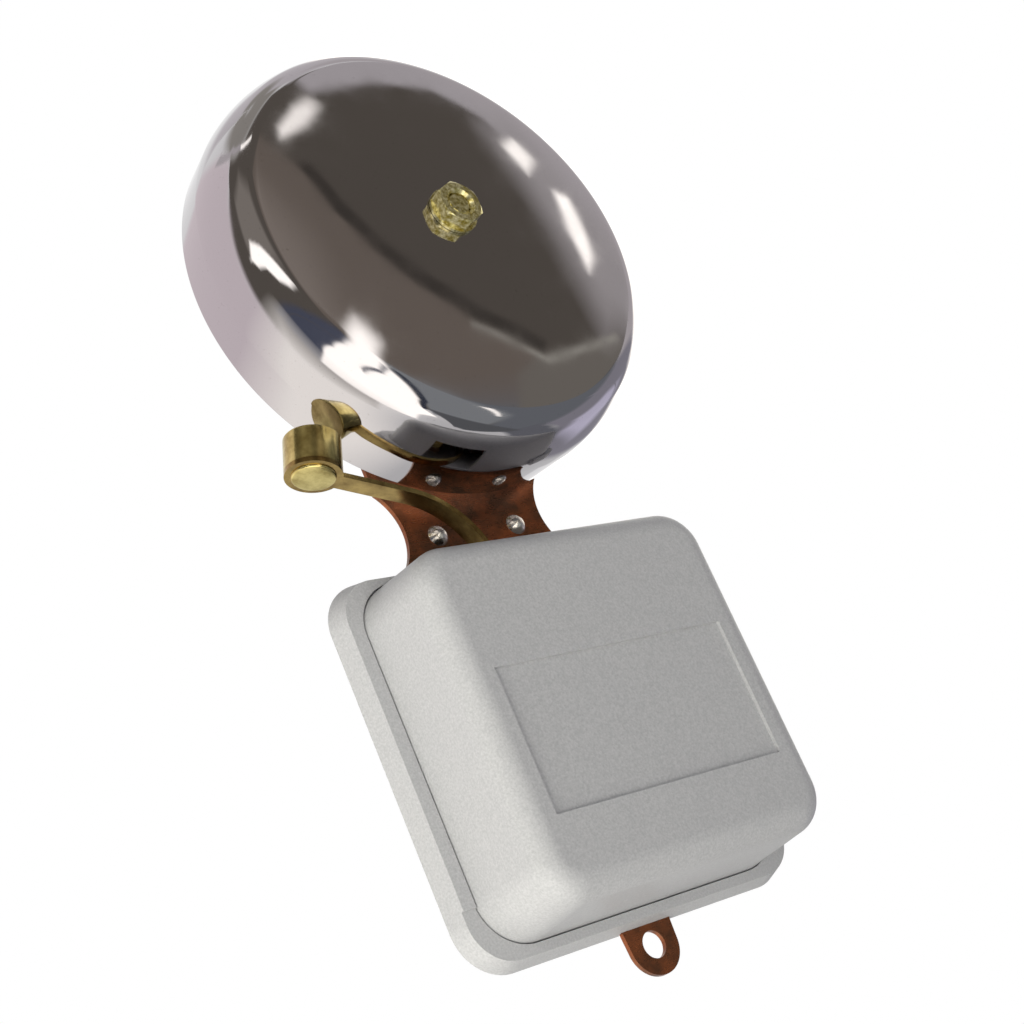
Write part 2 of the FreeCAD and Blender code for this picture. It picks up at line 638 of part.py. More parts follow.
cut_plate(cover, S.tray_floor - S.overrun, S.cover_screw_grip + S.overrun, holes=[
    (x, z, S.cover_screw_radius + S.hole_gap) for x, z in cover_screw_seats])
cut_plate(cover, S.cover_front - S.label_depth, S.label_depth + S.overrun, points=box_points(
    -S.label_half, S.label_half, S.label_low, S.label_high))
cut_plate(cover, S.tray_floor - S.overrun, S.slot_depth - S.tray_floor + S.overrun,
          points=box_points(-S.slot_left, -S.slot_right, S.cover_high - S.slot_drop, above))

# Cover screws from the back
cover_screws = new_body("cover_screws")
screw_end = S.tray_floor + S.cover_screw_grip - S.cover_screw_spare
for x, z in cover_screw_seats:
    turned(cover_screws, "y", x, z, [
        (S.hole_gap, 0), (S.hole_gap, S.cover_screw_head), (screw_seat, S.cover_screw_head),
        (screw_seat, S.cover_screw_radius), (screw_end - S.cover_screw_point,
                                             S.cover_screw_radius),
        (screw_end, S.cover_screw_tip), (screw_end, 0)])
sketch = plane_sketch(cover_screws, "XZ_Plane", back)
for x, z in cover_screw_seats:
    outline(sketch, box_points(x - S.cover_screw_head - S.overrun,
                               x + S.cover_screw_head + S.overrun,
                               z - S.screw_slot_half, z + S.screw_slot_half))
cut_pocket(cover_screws, sketch, S.screw_slot_depth + S.overrun)

# Gong: turned cup with a near-straight skirt, rounded shoulder and slightly domed crown,
# bored off its centre so that turning it on the post sets the gap to the striker
gong = new_body("gong")
skirt_depth = S.gong_rim_depth + S.gong_skirt_height
rim_radius = S.gong_skirt_radius - S.gong_flare
shoulder_centre = S.gong_skirt_radius - S.shoulder_curve
turn_in_cos = cosine(S.shoulder_angle)
turn_in_sin = sine(S.shoulder_angle)
crown_centre = (shoulder_centre + (S.shoulder_curve - S.crown_curve) * turn_in_cos,
                skirt_depth + (S.shoulder_curve - S.crown_curve) * turn_in_sin)


def gong_side(inset):
    """The gong's profile from its middle to its rim, inset from the outside by a wall."""
    shoulder_radius = S.shoulder_curve - inset
    crown_radius = S.crown_curve - inset
    joint = (shoulder_centre + shoulder_radius * turn_in_cos,
             skirt_depth + shoulder_radius * turn_in_sin)
    crown = (crown_centre[0] + crown_radius * cosine(S.crown_angle),
             crown_centre[1] + crown_radius * sine(S.crown_angle))
    curve = dome_curve(crown[0], S.gong_dome_rise)
    top = crown[1] + S.gong_dome_rise
    return top, curve, crown, crown_radius, joint, shoulder_radius


top_depth, dome, crown, crown_radius, joint, shoulder_radius = gong_side(as_size(0))
in_top, in_dome, in_crown, in_crown_radius, in_joint, in_shoulder_radius = gong_side(S.gong_wall)
sketch = plane_sketch(gong, "XY_Plane", gong_z)
outline(sketch, [
    (gong_x, -top_depth, dome, 1),
    (gong_x + crown[0], -crown[1], crown_radius, 1),
    (gong_x + joint[0], -joint[1], shoulder_radius, 1),
    (gong_x + S.gong_skirt_radius, -skirt_depth),
    (gong_x + rim_radius, -S.gong_rim_depth),
    (gong_x + rim_radius - S.gong_wall, -S.gong_rim_depth),
    (gong_x + S.gong_skirt_radius - S.gong_wall, -skirt_depth, in_shoulder_radius, -1),
    (gong_x + in_joint[0], -in_joint[1], in_crown_radius, -1),
    (gong_x + in_crown[0], -in_crown[1], in_dome, -1),
    (gong_x, -in_top)])
turn_about(gong, sketch, (gong_x, -S.gong_rim_depth), (gong_x, -top_depth))
stud_hole = S.stud_radius + S.bore_clearance
cut_plate(gong, skirt_depth, top_depth, holes=[(0, post_z, stud_hole)])

# Post with its riveted spigot and threaded stud, washer and nut on the gong
post = new_body("gong_post")
post_top = in_top - S.post_relief
washer_seat = top_depth + S.seat_gap
nut_seat = washer_seat + S.washer_thick
nut_top = nut_seat + S.nut_height
stud_end = nut_top - S.stud_sunk
turned(post, "y", 0, post_z, [
    (S.plate_thick, 0), (S.plate_thick, S.post_spigot_radius),
    (bracket_front, S.post_spigot_radius), (bracket_front, S.post_radius),
    (post_top, S.post_radius), (post_top, S.stud_radius),
    (stud_end - S.stud_bevel, S.stud_radius), (stud_end, S.stud_radius - S.stud_bevel),
    (stud_end, 0)])
washer = new_body("gong_washer")
turned(washer, "y", 0, post_z, [
    (washer_seat, stud_hole), (washer_seat, S.washer_radius),
    (nut_seat, S.washer_radius), (nut_seat, stud_hole)])
nut = new_body("gong_nut")
plate(nut, nut_seat, S.nut_height, hex_points(0, post_z, S.nut_flats),
      holes=[(0, post_z, S.stud_radius + S.seat_gap)])
across = S.nut_flats / as_size(math.sqrt(3.0))
nut_edge = across + S.overrun
turned(nut, "y", 0, post_z, [
    (nut_top, across - S.nut_bevel), (nut_top, nut_edge),
    (nut_top - (S.overrun + S.nut_bevel) * S.nut_bevel_slope, nut_edge)], cut=True)
mouth = S.stud_radius + S.seat_gap
turned(nut, "y", 0, post_z, [
    (nut_top, 0), (nut_top, mouth + S.stud_sunk), (nut_top - S.stud_sunk, mouth),
    (nut_top - S.stud_sunk, 0)], cut=True)

# Electromagnet: yoke, two cores, bobbins, windings and the screws behind the yoke
yoke = new_body("magnet_yoke")
yoke_foot_front = S.tray_floor + S.yoke_foot_thick
sketch = plane_sketch(yoke, "XY_Plane", S.yoke_low)
outline(sketch, [
    (S.yoke_x, -S.tray_floor), (S.yoke_x, -S.yoke_front), (yoke_foot_left, -S.yoke_front),
    (yoke_foot_left, -yoke_foot_front), (yoke_foot_right, -yoke_foot_front),
    (yoke_foot_right, -S.tray_floor)])
raise_pad(yoke, sketch, S.yoke_high - S.yoke_low)
cut_through(yoke, S.tray_floor, S.yoke_foot_thick,
            holes=[(x, z, tapped) for x, z in yoke_screw_seats])
core_heights = [S.core_low, S.core_high]
cut_side(yoke, S.yoke_x, S.yoke_thick,
         [(S.core_depth, z, S.core_screw_radius + S.hole_gap) for z in core_heights])
cores = new_body("magnet_cores")
bobbins = new_body("coil_bobbins")
windings = new_body("coil_windings")
core_end = S.yoke_x - S.seat_gap
bobbin_start = S.pole_x + S.pole_stand
bobbin_end = S.yoke_x - S.fit_gap
bobbin_bore = S.core_radius + S.fit_gap
winding_start = bobbin_start + S.bobbin_flange
winding_end = bobbin_end - S.bobbin_flange
winding_inner = S.bobbin_tube_radius + S.seat_gap
screw_hole = S.core_screw_radius + S.seat_gap
bore_end = core_end - S.core_screw_bite
for z in core_heights:
    turned(cores, "x", S.core_depth, z, [
        (S.pole_x, 0), (S.pole_x, S.core_radius - S.pole_bevel),
        (S.pole_x + S.pole_bevel, S.core_radius), (core_end, S.core_radius),
        (core_end, screw_hole), (bore_end, screw_hole), (bore_end, 0)])
    turned(bobbins, "x", S.core_depth, z, [
        (bobbin_start, bobbin_bore), (bobbin_start, S.bobbin_flange_radius),
        (winding_start, S.bobbin_flange_radius), (winding_start, S.bobbin_tube_radius),
        (winding_end, S.bobbin_tube_radius), (winding_end, S.bobbin_flange_radius),
        (bobbin_end, S.bobbin_flange_radius), (bobbin_end, bobbin_bore)])
    turned(windings, "x", S.core_depth, z, [
        (winding_start + S.seat_gap, winding_inner),
        (winding_start + S.seat_gap, S.winding_radius),
        (winding_end - S.seat_gap, S.winding_radius),
        (winding_end - S.seat_gap, winding_inner)])
core_screw_seat = yoke_foot_left + S.seat_gap
slotted_screws("core_screws", "x", [(S.core_depth, z) for z in core_heights], core_screw_seat,
               bore_end + S.thread_spare, S.core_screw_radius, S.screw_head_radius)
slotted_screws("yoke_screws", "y", yoke_screw_seats, yoke_foot_front + S.seat_gap,
               S.hole_gap, S.screw_radius, S.screw_head_radius - S.yoke_screw_trim)

# Enamelled leads: coil to terminal plate, coil to spring post, and coil to coil
leads = new_body("coil_leads")
terminal_front = S.tray_floor + S.block_thick + S.terminal_thick
lead_lie = S.lead_radius + S.seat_gap
wind_reach = S.winding_radius + lead_lie
terminal_lead_dz = S.lead_plane - S.core_low
terminal_lead_depth = S.core_depth - root(wind_reach * wind_reach
                                          - terminal_lead_dz * terminal_lead_dz)
lead_lift = terminal_front + lead_lie
lead_bend = (lead_lift - terminal_lead_depth) / 2
wire(leads, "XY_Plane", S.lead_plane, [
    (S.lead_start, -terminal_lead_depth),
    (S.lead_turn, -terminal_lead_depth, lead_bend, 1),
    (S.lead_turn - lead_bend, -terminal_lead_depth - lead_bend, lead_bend, -1),
    (S.lead_turn - lead_bend * 2, -lead_lift), (S.lead_end, -lead_lift)],
    "YZ_Plane", S.lead_start, (-terminal_lead_depth, S.lead_plane))
cut_side(bobbins, bobbin_start, S.bobbin_flange,
         [(terminal_lead_depth, S.lead_plane, S.lead_radius + S.hole_gap)])
leaf_foot_front = S.tray_floor + S.leaf_foot_thick
post_lead_depth = leaf_foot_front + lead_lie
post_lead_start = S.core_low - root(wind_reach * wind_reach - (S.core_depth - post_lead_depth)
                                    * (S.core_depth - post_lead_depth))
wire(leads, "YZ_Plane", S.lead_post_x, [
    (-post_lead_depth, post_lead_start), (-post_lead_depth, S.lead_post_end)],
    "XY_Plane", S.lead_post_end, (S.lead_post_x, -post_lead_depth))
wire(leads, "YZ_Plane", S.link_x, [
    (-S.core_depth, S.core_low + S.winding_radius + S.seat_gap),
    (-S.core_depth, S.core_high - S.winding_radius - S.seat_gap)],
    "XY_Plane", S.core_low + S.winding_radius + S.seat_gap, (S.link_x, -S.core_depth))

# Armature on its leaf spring, hinged just above the spring post
armature = new_body("armature")
plate(armature, S.core_depth - S.armature_width / 2, S.armature_width, box_points(
    S.armature_x, S.armature_x + S.armature_thick, S.armature_low, S.armature_high))
rivet_hole = S.small_rivet_radius + S.seat_gap
leaf_rivet_places = [(S.core_depth, z, rivet_hole) for z in (S.leaf_rivet_low, S.leaf_rivet_high)]
arm_rivet_places = [(S.core_depth, z, rivet_hole) for z in (S.arm_rivet_low, S.arm_rivet_high)]
cut_side(armature, S.armature_x, S.armature_thick, leaf_rivet_places + arm_rivet_places)
leaf = new_body("armature_spring")
leaf_x = S.armature_x - S.leaf_thick
leaf_back = S.core_depth - S.leaf_width / 2
plate(leaf, leaf_back, S.leaf_width, box_points(
    leaf_x, S.armature_x, S.leaf_post_low, S.leaf_high))
clamp_depths = (S.clamp_screw_back, S.clamp_screw_front)
clamp_holes = [(depth, leaf_screw_z, S.clamp_screw_radius + S.hole_gap)
               for depth in clamp_depths]
cut_side(leaf, leaf_x, S.leaf_thick, leaf_rivet_places + clamp_holes)

# Striker arm: strip on edge, straight in the housing, one long bend, eye at the end
arm = new_body("hammer_arm")
bend_end = on_arm(as_size(0), as_size(0))
plate(arm, S.core_depth - S.arm_width / 2, S.arm_width, [
    (arm_left, S.arm_low), (S.armature_x, S.arm_low),
    (S.armature_x, S.arm_bend_low, bend_outer, 1), on_arm(as_size(0), S.arm_thick),
    on_arm(S.arm_reach, S.arm_thick), on_arm(S.arm_reach, as_size(0)),
    (bend_end[0], bend_end[1], S.arm_bend_curve, -1), (arm_left, S.arm_bend_low)])
cut_side(arm, arm_left, S.arm_thick, arm_rivet_places)
tilted_disc(arm, as_size(0), S.arm_thick, S.arm_eye_radius)
tilted_disc(arm, -S.overrun, S.arm_thick + S.overrun * 2, S.spigot_radius + S.seat_gap,
            cut=True)
striker = new_body("striker")
striker_body = tilted_disc(striker, S.arm_thick, S.striker_length, S.striker_radius)
hit_x, hit_z = on_arm(S.arm_reach, S.arm_thick + S.striker_length)


def striker_end(edge):
    """The edge round the end that meets the gong."""
    middle = edge.BoundBox.Center
    return math.hypot(middle.x - hit_x.value, middle.z - hit_z.value) < S.seat_gap.value


round_edges(striker, striker_body, striker_end, S.striker_bevel)
tilted_disc(striker, -S.spigot_proud, S.spigot_proud + S.arm_thick, S.spigot_radius)

# Rivets of the armature, two through the springs and two through the arm
contact_left = leaf_x - S.contact_thick
armature_right = S.armature_x + S.armature_thick
small_curve = dome_curve(S.small_rivet_head, S.small_rivet_rise)
for label, places, seat in (("spring_rivets", leaf_rivet_places, contact_left),
                            ("arm_rivets", arm_rivet_places, arm_left)):
    body = new_body(label)
    for depth, z, hole in places:
        turned(body, "x", depth, z, [
            (seat - S.small_rivet_rise, 0, small_curve, 1), (seat, S.small_rivet_head),
            (seat, S.small_rivet_radius), (armature_right - S.seat_gap, S.small_rivet_radius),
            (armature_right - S.seat_gap, 0)])

# Contact spring on the armature, silver tip, and the fixed contact screw facing it
contact = new_body("contact_spring")
tip_left = contact_left - S.contact_offset
tip_right = tip_left + S.contact_thick
sketch = plane_sketch(contact, "XZ_Plane", S.core_depth - S.contact_width / 2)
outline(sketch, [
    (contact_left, S.contact_start), (leaf_x, S.contact_start), (leaf_x, S.contact_bend_low),
    (tip_right, S.contact_bend_high), (tip_right, S.contact_top), (tip_left, S.contact_top),
    (tip_left, S.contact_bend_high), (contact_left, S.contact_bend_low)])
raise_pad(contact, sketch, S.contact_width)
cut_side(contact, contact_left, S.contact_thick, leaf_rivet_places)
tip = new_body("contact_tip")
tip_end = tip_left - S.tip_height
turned(tip, "x", S.core_depth, S.contact_z, [
    (tip_left, 0), (tip_left, S.tip_radius), (tip_end + S.tip_bevel, S.tip_radius),
    (tip_end, S.tip_radius - S.tip_bevel), (tip_end, 0)])
nose = tip_end - S.contact_gap
nose_end = nose - S.nose_length
post_left = S.contact_post_x
post_right = post_left + S.contact_post_thick
locknut_left = post_left - S.seat_gap - S.locknut_height
knob_right = locknut_left - S.knob_clear
knob_left = knob_right - S.knob_length
contact_screw = new_body("contact_screw")
turned(contact_screw, "x", S.core_depth, S.contact_z, [
    (nose, 0), (nose, S.contact_screw_nose), (nose_end, S.contact_screw_nose),
    (nose_end, S.contact_screw_radius), (knob_right, S.contact_screw_radius),
    (knob_right, S.knob_radius), (knob_left, S.knob_radius), (knob_left, 0)])
sketch = plane_sketch(contact_screw, "YZ_Plane", knob_left - S.overrun)
outline(sketch, box_points(-S.core_depth - S.knob_radius - S.overrun,
                           -S.core_depth + S.knob_radius + S.overrun,
                           S.contact_z - S.screw_slot_half, S.contact_z + S.screw_slot_half))
cut_pocket(contact_screw, sketch, S.screw_slot_depth + S.overrun)
locknut = new_body("contact_locknut")
thread_hole = S.contact_screw_radius + S.seat_gap
sketch = plane_sketch(locknut, "YZ_Plane", locknut_left)
outline(sketch, hex_points(-S.core_depth, S.contact_z, S.locknut_flats))
ring(sketch, -S.core_depth, S.contact_z, thread_hole)
raise_pad(locknut, sketch, S.locknut_height)
contact_post = new_body("contact_post")
block_front = S.tray_floor + S.block_thick
plate(contact_post, block_front, S.contact_foot_thick, box_points(
    S.contact_foot_left, post_right, S.contact_foot_low, S.contact_foot_high),
    holes=[(S.foot_screw_x, S.foot_screw_z, tapped)])
plate(contact_post, block_front, S.contact_post_front - block_front, box_points(
    post_left, post_right, S.contact_post_low, S.contact_post_high))
cut_side(contact_post, post_left, S.contact_post_thick,
         [(S.core_depth, S.contact_z, thread_hole)])

# Insulating block with the terminal plate, terminal screws and its own fixing screws
insulator = new_body("terminal_block")
plate(insulator, S.tray_floor, S.block_thick, box_points(
    S.block_left, S.block_right, plate_wide_low, plate_wide_high),
    holes=[(x, z, tapped) for x, z in block_screw_seats])
cut_plate(insulator, block_front - S.block_bore, S.block_bore + S.overrun, holes=[
    (S.terminal_screw_x, S.terminal_screw_z, tapped), (S.foot_screw_x, S.foot_screw_z, tapped)])
terminal = new_body("terminal_plate")
plate(terminal, block_front, S.terminal_thick, box_points(
    S.terminal_left, S.block_right - S.terminal_inset, S.terminal_low, S.terminal_high),
    holes=[(S.terminal_screw_x, S.terminal_screw_z, tapped)])
block_screw_tip = block_front - S.block_bore + S.tip_clear
slotted_screws("terminal_screw", "y", [(S.terminal_screw_x, S.terminal_screw_z)],
               terminal_front + S.seat_gap, block_screw_tip, S.screw_radius,
               S.screw_head_radius)
slotted_screws("contact_post_screw", "y", [(S.foot_screw_x, S.foot_screw_z)],
               block_front + S.contact_foot_thick + S.seat_gap, block_screw_tip,
               S.screw_radius, S.screw_head_radius)
slotted_screws("block_screws", "y", block_screw_seats, block_front + S.seat_gap, S.hole_gap,
               S.screw_radius, S.screw_head_radius)

# Spring post, clamp plate and their screws
leaf_post = new_body("spring_post")
leaf_post_right = S.armature_x + S.leaf_post_thick
sketch = plane_sketch(leaf_post, "XY_Plane", S.leaf_post_low)
outline(sketch, [
    (S.armature_x, -S.tray_floor), (S.armature_x, -S.leaf_post_front),
    (leaf_post_right, -S.leaf_post_front), (leaf_post_right, -leaf_foot_front),
    (S.leaf_foot_right, -leaf_foot_front), (S.leaf_foot_right, -S.tray_floor)])
raise_pad(leaf_post, sketch, S.leaf_post_high - S.leaf_post_low)
cut_through(leaf_post, S.tray_floor, S.leaf_foot_thick,
            holes=[(S.leaf_screw_x, leaf_screw_z, tapped)])
cut_side(leaf_post, S.armature_x, S.leaf_post_thick,
         [(depth, leaf_screw_z, S.clamp_screw_radius + S.seat_gap) for depth in clamp_depths])
clamp = new_body("spring_clamp")
clamp_left = leaf_x - S.clamp_thick
plate(clamp, leaf_back, S.leaf_width, box_points(
    clamp_left, leaf_x, S.leaf_post_low + S.clamp_inset, S.leaf_post_high - S.clamp_inset))
cut_side(clamp, clamp_left, S.clamp_thick, clamp_holes)
clamp_screws = new_body("clamp_screws")
clamp_seat = clamp_left - S.seat_gap
clamp_head = clamp_seat - S.clamp_screw_rise
clamp_tip = leaf_post_right - S.tip_clear
for depth in clamp_depths:
    turned(clamp_screws, "x", depth, leaf_screw_z, [
        (clamp_head, 0), (clamp_head, S.clamp_screw_head), (clamp_seat, S.clamp_screw_head),
        (clamp_seat, S.clamp_screw_radius), (clamp_tip, S.clamp_screw_radius), (clamp_tip, 0)])
slotted_screws("spring_post_screw", "y", [(S.leaf_screw_x, leaf_screw_z)],
               leaf_foot_front + S.seat_gap, S.hole_gap, S.screw_radius, S.screw_head_radius)

DOC.recompute()
for item in DOC.Objects:
    if "Invalid" in item.State or "Error" in item.State:
        raise RuntimeError("%s did not rebuild" % item.Label)
for body in BODIES:
    shape = body.Shape
    if shape.isNull() or not shape.isValid() or not shape.Solids:
        raise RuntimeError("%s has no valid solid" % body.Label)
os.makedirs("parts", exist_ok=True)
for body in BODIES:
    body.Shape.exportStep("parts/%s.step" % body.Label)
print("%d pieces written, gong centre %.2f up, post %.2f up, crown at depth %.2f" % (
    len(BODIES), gong_z.value, post_z.value, top_depth.value))
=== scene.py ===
"""Looks of a small enclosed electric bell, laid out as an add-on and run as a script.

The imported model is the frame: its pieces keep their shapes and get the finishes of the real
ones. The gong is turned again as one finely divided shell, because its chrome mirrors the
studio, and the striker gets the flattened head of its rivet. Lengths are metres; X is to the
right, Z is up and the front faces -Y.
"""

import json
import math

import bpy
from bpy.props import FloatProperty, FloatVectorProperty, IntProperty, PointerProperty
from mathutils import Matrix, Vector
from mathutils.geometry import intersect_point_line

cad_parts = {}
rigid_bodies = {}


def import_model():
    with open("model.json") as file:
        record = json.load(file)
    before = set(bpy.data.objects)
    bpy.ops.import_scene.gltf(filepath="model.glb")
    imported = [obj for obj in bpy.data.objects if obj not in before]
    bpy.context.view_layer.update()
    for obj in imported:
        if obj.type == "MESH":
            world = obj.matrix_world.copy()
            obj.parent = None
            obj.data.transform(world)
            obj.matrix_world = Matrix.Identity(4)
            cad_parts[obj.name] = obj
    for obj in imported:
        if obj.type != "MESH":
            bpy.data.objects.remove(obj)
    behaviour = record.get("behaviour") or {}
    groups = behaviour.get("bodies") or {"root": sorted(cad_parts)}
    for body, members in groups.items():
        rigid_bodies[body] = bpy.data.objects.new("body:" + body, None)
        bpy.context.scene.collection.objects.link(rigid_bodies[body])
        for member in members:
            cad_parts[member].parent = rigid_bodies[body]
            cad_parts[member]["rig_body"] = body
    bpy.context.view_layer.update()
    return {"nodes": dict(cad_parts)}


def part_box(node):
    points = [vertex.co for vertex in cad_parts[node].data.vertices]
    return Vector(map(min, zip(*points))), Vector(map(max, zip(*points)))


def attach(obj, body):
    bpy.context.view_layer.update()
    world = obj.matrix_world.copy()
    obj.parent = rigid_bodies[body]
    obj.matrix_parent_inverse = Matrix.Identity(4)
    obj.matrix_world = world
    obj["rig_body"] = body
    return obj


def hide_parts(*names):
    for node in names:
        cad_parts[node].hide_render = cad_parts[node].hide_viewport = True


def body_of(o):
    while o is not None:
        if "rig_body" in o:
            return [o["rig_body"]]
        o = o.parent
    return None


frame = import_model()

bl_info = {
    "name": "Electric bell looks",
    "version": (1, 0, 0),
    "blender": (4, 5, 0),
    "location": "View3D > Sidebar > Bell",
    "description": "Finishes, gong shell and studio for a small enclosed electric bell",
    "category": "Object",
}

MM = 0.001
FIXED_BODY = body_of(frame["nodes"]["gong"])[0]
HAMMER_BODY = body_of(frame["nodes"]["striker"])[0]
GONG_LOW, GONG_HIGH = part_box("gong")
POST_LOW, POST_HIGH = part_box("gong_post")
GONG_MIDDLE = (GONG_LOW + GONG_HIGH) / 2

# Divisions of the gong's section: along its arcs, round the rim's edges and over the dome.
ARC_STEPS = 36
RIM_STEPS = 6
DOME_STEPS = 40
# Inside this radius the gong's rings run out from the off-centre bore.
SETTLE_RADIUS = 14 * MM
# Divisions of the rivet head: rings over its top and its edge, and facets round it.
HEAD_RINGS = 8
HEAD_EDGE_RINGS = 6
HEAD_DIVISIONS = 96
# The camera's sensor in millimetres, and its near and far limits.
SENSOR_WIDTH = 36
CLIP_NEAR = 0.01
CLIP_FAR = 20
# Share of plain white in the floor as the lens sees it.
FLOOR_WHITE = 0.7
# The fill falls to a share of its strength between two heights of its direction.
FILL_FALL = (-0.3, 0.8)
FILL_FROM_CEILING = 0.2
# The side lamp: bearing and height in degrees, distance from the gong, and width.
SIDE_LAMP_BEARING = -75
SIDE_LAMP_HEIGHT = -25
SIDE_LAMP_REACH = 0.55
SIDE_LAMP_WIDTH = 0.4

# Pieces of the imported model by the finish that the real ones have.
NODES_BY_FINISH = {
    "moulded_abs": ("cover", "base_tray"),
    "copper_washed_steel": ("chassis_plate", "gong_bracket"),
    "lacquered_brass": ("striker",),
    "rolled_brass": ("hammer_arm",),
    "turned_brass": ("contact_post", "contact_screw", "contact_locknut", "terminal_plate"),
    "yellow_zinc_steel": ("gong_nut", "gong_washer", "gong_post"),
    "nickel_plated_rivet": ("bracket_rivets",),
    "zinc_plated_steel": (
        "cover_screws", "core_screws", "yoke_screws", "contact_post_screw", "block_screws",
        "spring_post", "spring_post_screw", "spring_clamp", "clamp_screws", "terminal_screw",
        "arm_rivets", "spring_rivets"),
    "annealed_iron": ("magnet_yoke", "magnet_cores", "armature"),
    "blued_spring_steel": ("armature_spring",),
    "phosphor_bronze": ("contact_spring",),
    "contact_silver": ("contact_tip",),
    "enamelled_copper_wire": ("coil_windings", "coil_leads"),
    "moulded_nylon": ("coil_bobbins",),
    "paper_phenolic": ("terminal_block",),
}

# Each card is this much nearer to the gong than the last one, and this much higher where it
# lies flat; the lowest lies a little above the floor.
CARD_STEP = 0.015
CARD_RISE = 0.0008
CARD_ABOVE_FLOOR = 0.01
# Finest and coarsest grid of a card, in degrees.
FINEST_GRID = 0.3
COARSEST_GRID = 2.0
# Cards that show only in reflections, by what they stand for: tone, layer (0 is farthest),
# width of the soft edge in degrees, and corners as (bearing, height) in degrees.
SHADE_CARDS = {
    "room": ("#69635C", 0, 2.5, [
        (-104, -58), (-104, 68), (30, 64), (50, 50), (64, 41), (62, 20), (60, 0), (60, -60)]),
    "ceiling": ("#A9A59E", 0, 5, [(-180, 68), (180, 62), (180, 89), (-180, 89)]),
    "ceiling_right": ("#DCD7DA", 1, 6, [(40, 54), (180, 54), (180, 76), (40, 76)]),
    "left_wall": ("#F4E8EC", 0, 5, [
        (-178, -14), (-178, 52), (-150, 64), (-108, 66), (-103, 40), (-103, -14)]),
    "left_glow": ("#99928A", 1, 8, [
        (-88, 24), (-82, 48), (-50, 56), (-18, 44), (-8, 22), (-40, 16), (-70, 20)]),
    "left_low_shade": ("#5A5F70", 1, 4, [
        (-93, -2), (-60, -2), (-30, 0), (-5, 6), (6, 10), (5, 2), (-15, -10), (-45, -24),
        (-93, -31)]),
    "brown_wall": ("#80766D", 1, 1.5, [
        (4, 12), (4, 43), (24, 43), (29.5, 38), (30, 30), (32, 23), (37, 18), (46, 13), (40, 7),
        (25, 6)]),
    "doorway": ("#645E57", 2, 0.7, [
        (26.8, 40.2), (28.2, 36), (28.3, 31), (30, 26), (33, 21.5), (38, 17), (45, 13.2),
        (52, 14), (56, 15.5), (60, 20), (61.5, 27), (61, 33), (61.5, 37.5), (58, 41.2),
        (50, 43.5), (40, 44), (30, 41.4)]),
    "door_shade": ("#4C4742", 3, 0.7, [
        (28.1, 37), (28.3, 31), (30, 26), (33, 21.5), (38, 17), (45, 13.2), (46, 14.4),
        (39, 18.4), (34.4, 22.8), (31.6, 27), (30.2, 32), (29.8, 37)]),
    "brown_glow": ("#9A9087", 2, 5, [(8, 18), (10, 38), (21, 38), (22.5, 28), (21, 18)]),
    "door_light": ("#BDB8B8", 3, 4.5, [
        (55.4, 15), (56.2, 22), (57.6, 29), (59.4, 36.5), (66, 37), (66, 18)]),
    "sill": ("#858078", 2, 0.8, [(44, 13), (57, 15), (60, 12), (50, 5), (38, 6), (40, 11)]),
    "sill_line": ("#B5B2A8", 4, 0.35, [
        (37, 17.1), (45, 12.8), (57, 15), (57, 14.4), (45, 12.1), (37, 16.4)]),
    "upper_rim": ("#CDC8CA", 1, 1.0, [
        (39, 44.4), (50, 43.8), (58, 41.4), (61.8, 37.5), (62, 30), (60.5, 20), (66, 20),
        (71, 34), (66, 47), (54, 52), (40, 50)]),
    "right_wall": ("#D0CACC", 1, 5, [
        (60, -6), (61, 22), (64, 30), (64, 38), (62, 50), (56, 62), (84, 62), (88, 30),
        (84, -6)]),
    "right_low_shade": ("#9C9AA4", 1, 4, [(58, -42), (58, 8), (128, 8), (128, -42)]),
    "right_low_light": ("#E0DCF2", 2, 7, [
        (82, -12), (86, -32), (108, -36), (118, -20), (112, -8), (92, -6)]),
    "right_floor": ("#787A81", 2, 4, [(56, -40), (80, -43), (124, -36), (124, -66), (56, -66)]),
    "low_blue": ("#7C8086", 1, 5, [(28, 8), (61, 8), (61, -62), (32, -62)]),
    "low_grey": ("#9A9EA1", 2, 3, [
        (12, 2), (22, 12), (30, 9), (34, -20), (30, -62), (-20, -66), (-5, -40), (4, -18)]),
    "under_bell": ("#6A6C6F", 3, 3, [(-16, -56), (62, -56), (62, -86), (-8, -86)]),
    "low_edge": ("#3F4452", 4, 1.0, [
        (16, 5), (4, -18), (-7, -40), (-24, -60), (-20, -60), (-3, -40), (7, -18), (18, 5)]),
    "window_bar": ("#5A5F70", 7, 1.2, [
        (12, 3), (-5, -14), (-36, -31), (-44, -37), (-36, -33.5), (-8, -19), (9, -2)]),
    "ceiling_line": ("#D0CACC", 2, 1.2, [
        (-150, 60.5), (-100, 69.5), (-50, 67.5), (-20, 61), (-20, 63), (-50, 70.5), (-100, 73),
        (-150, 64.5)]),
}
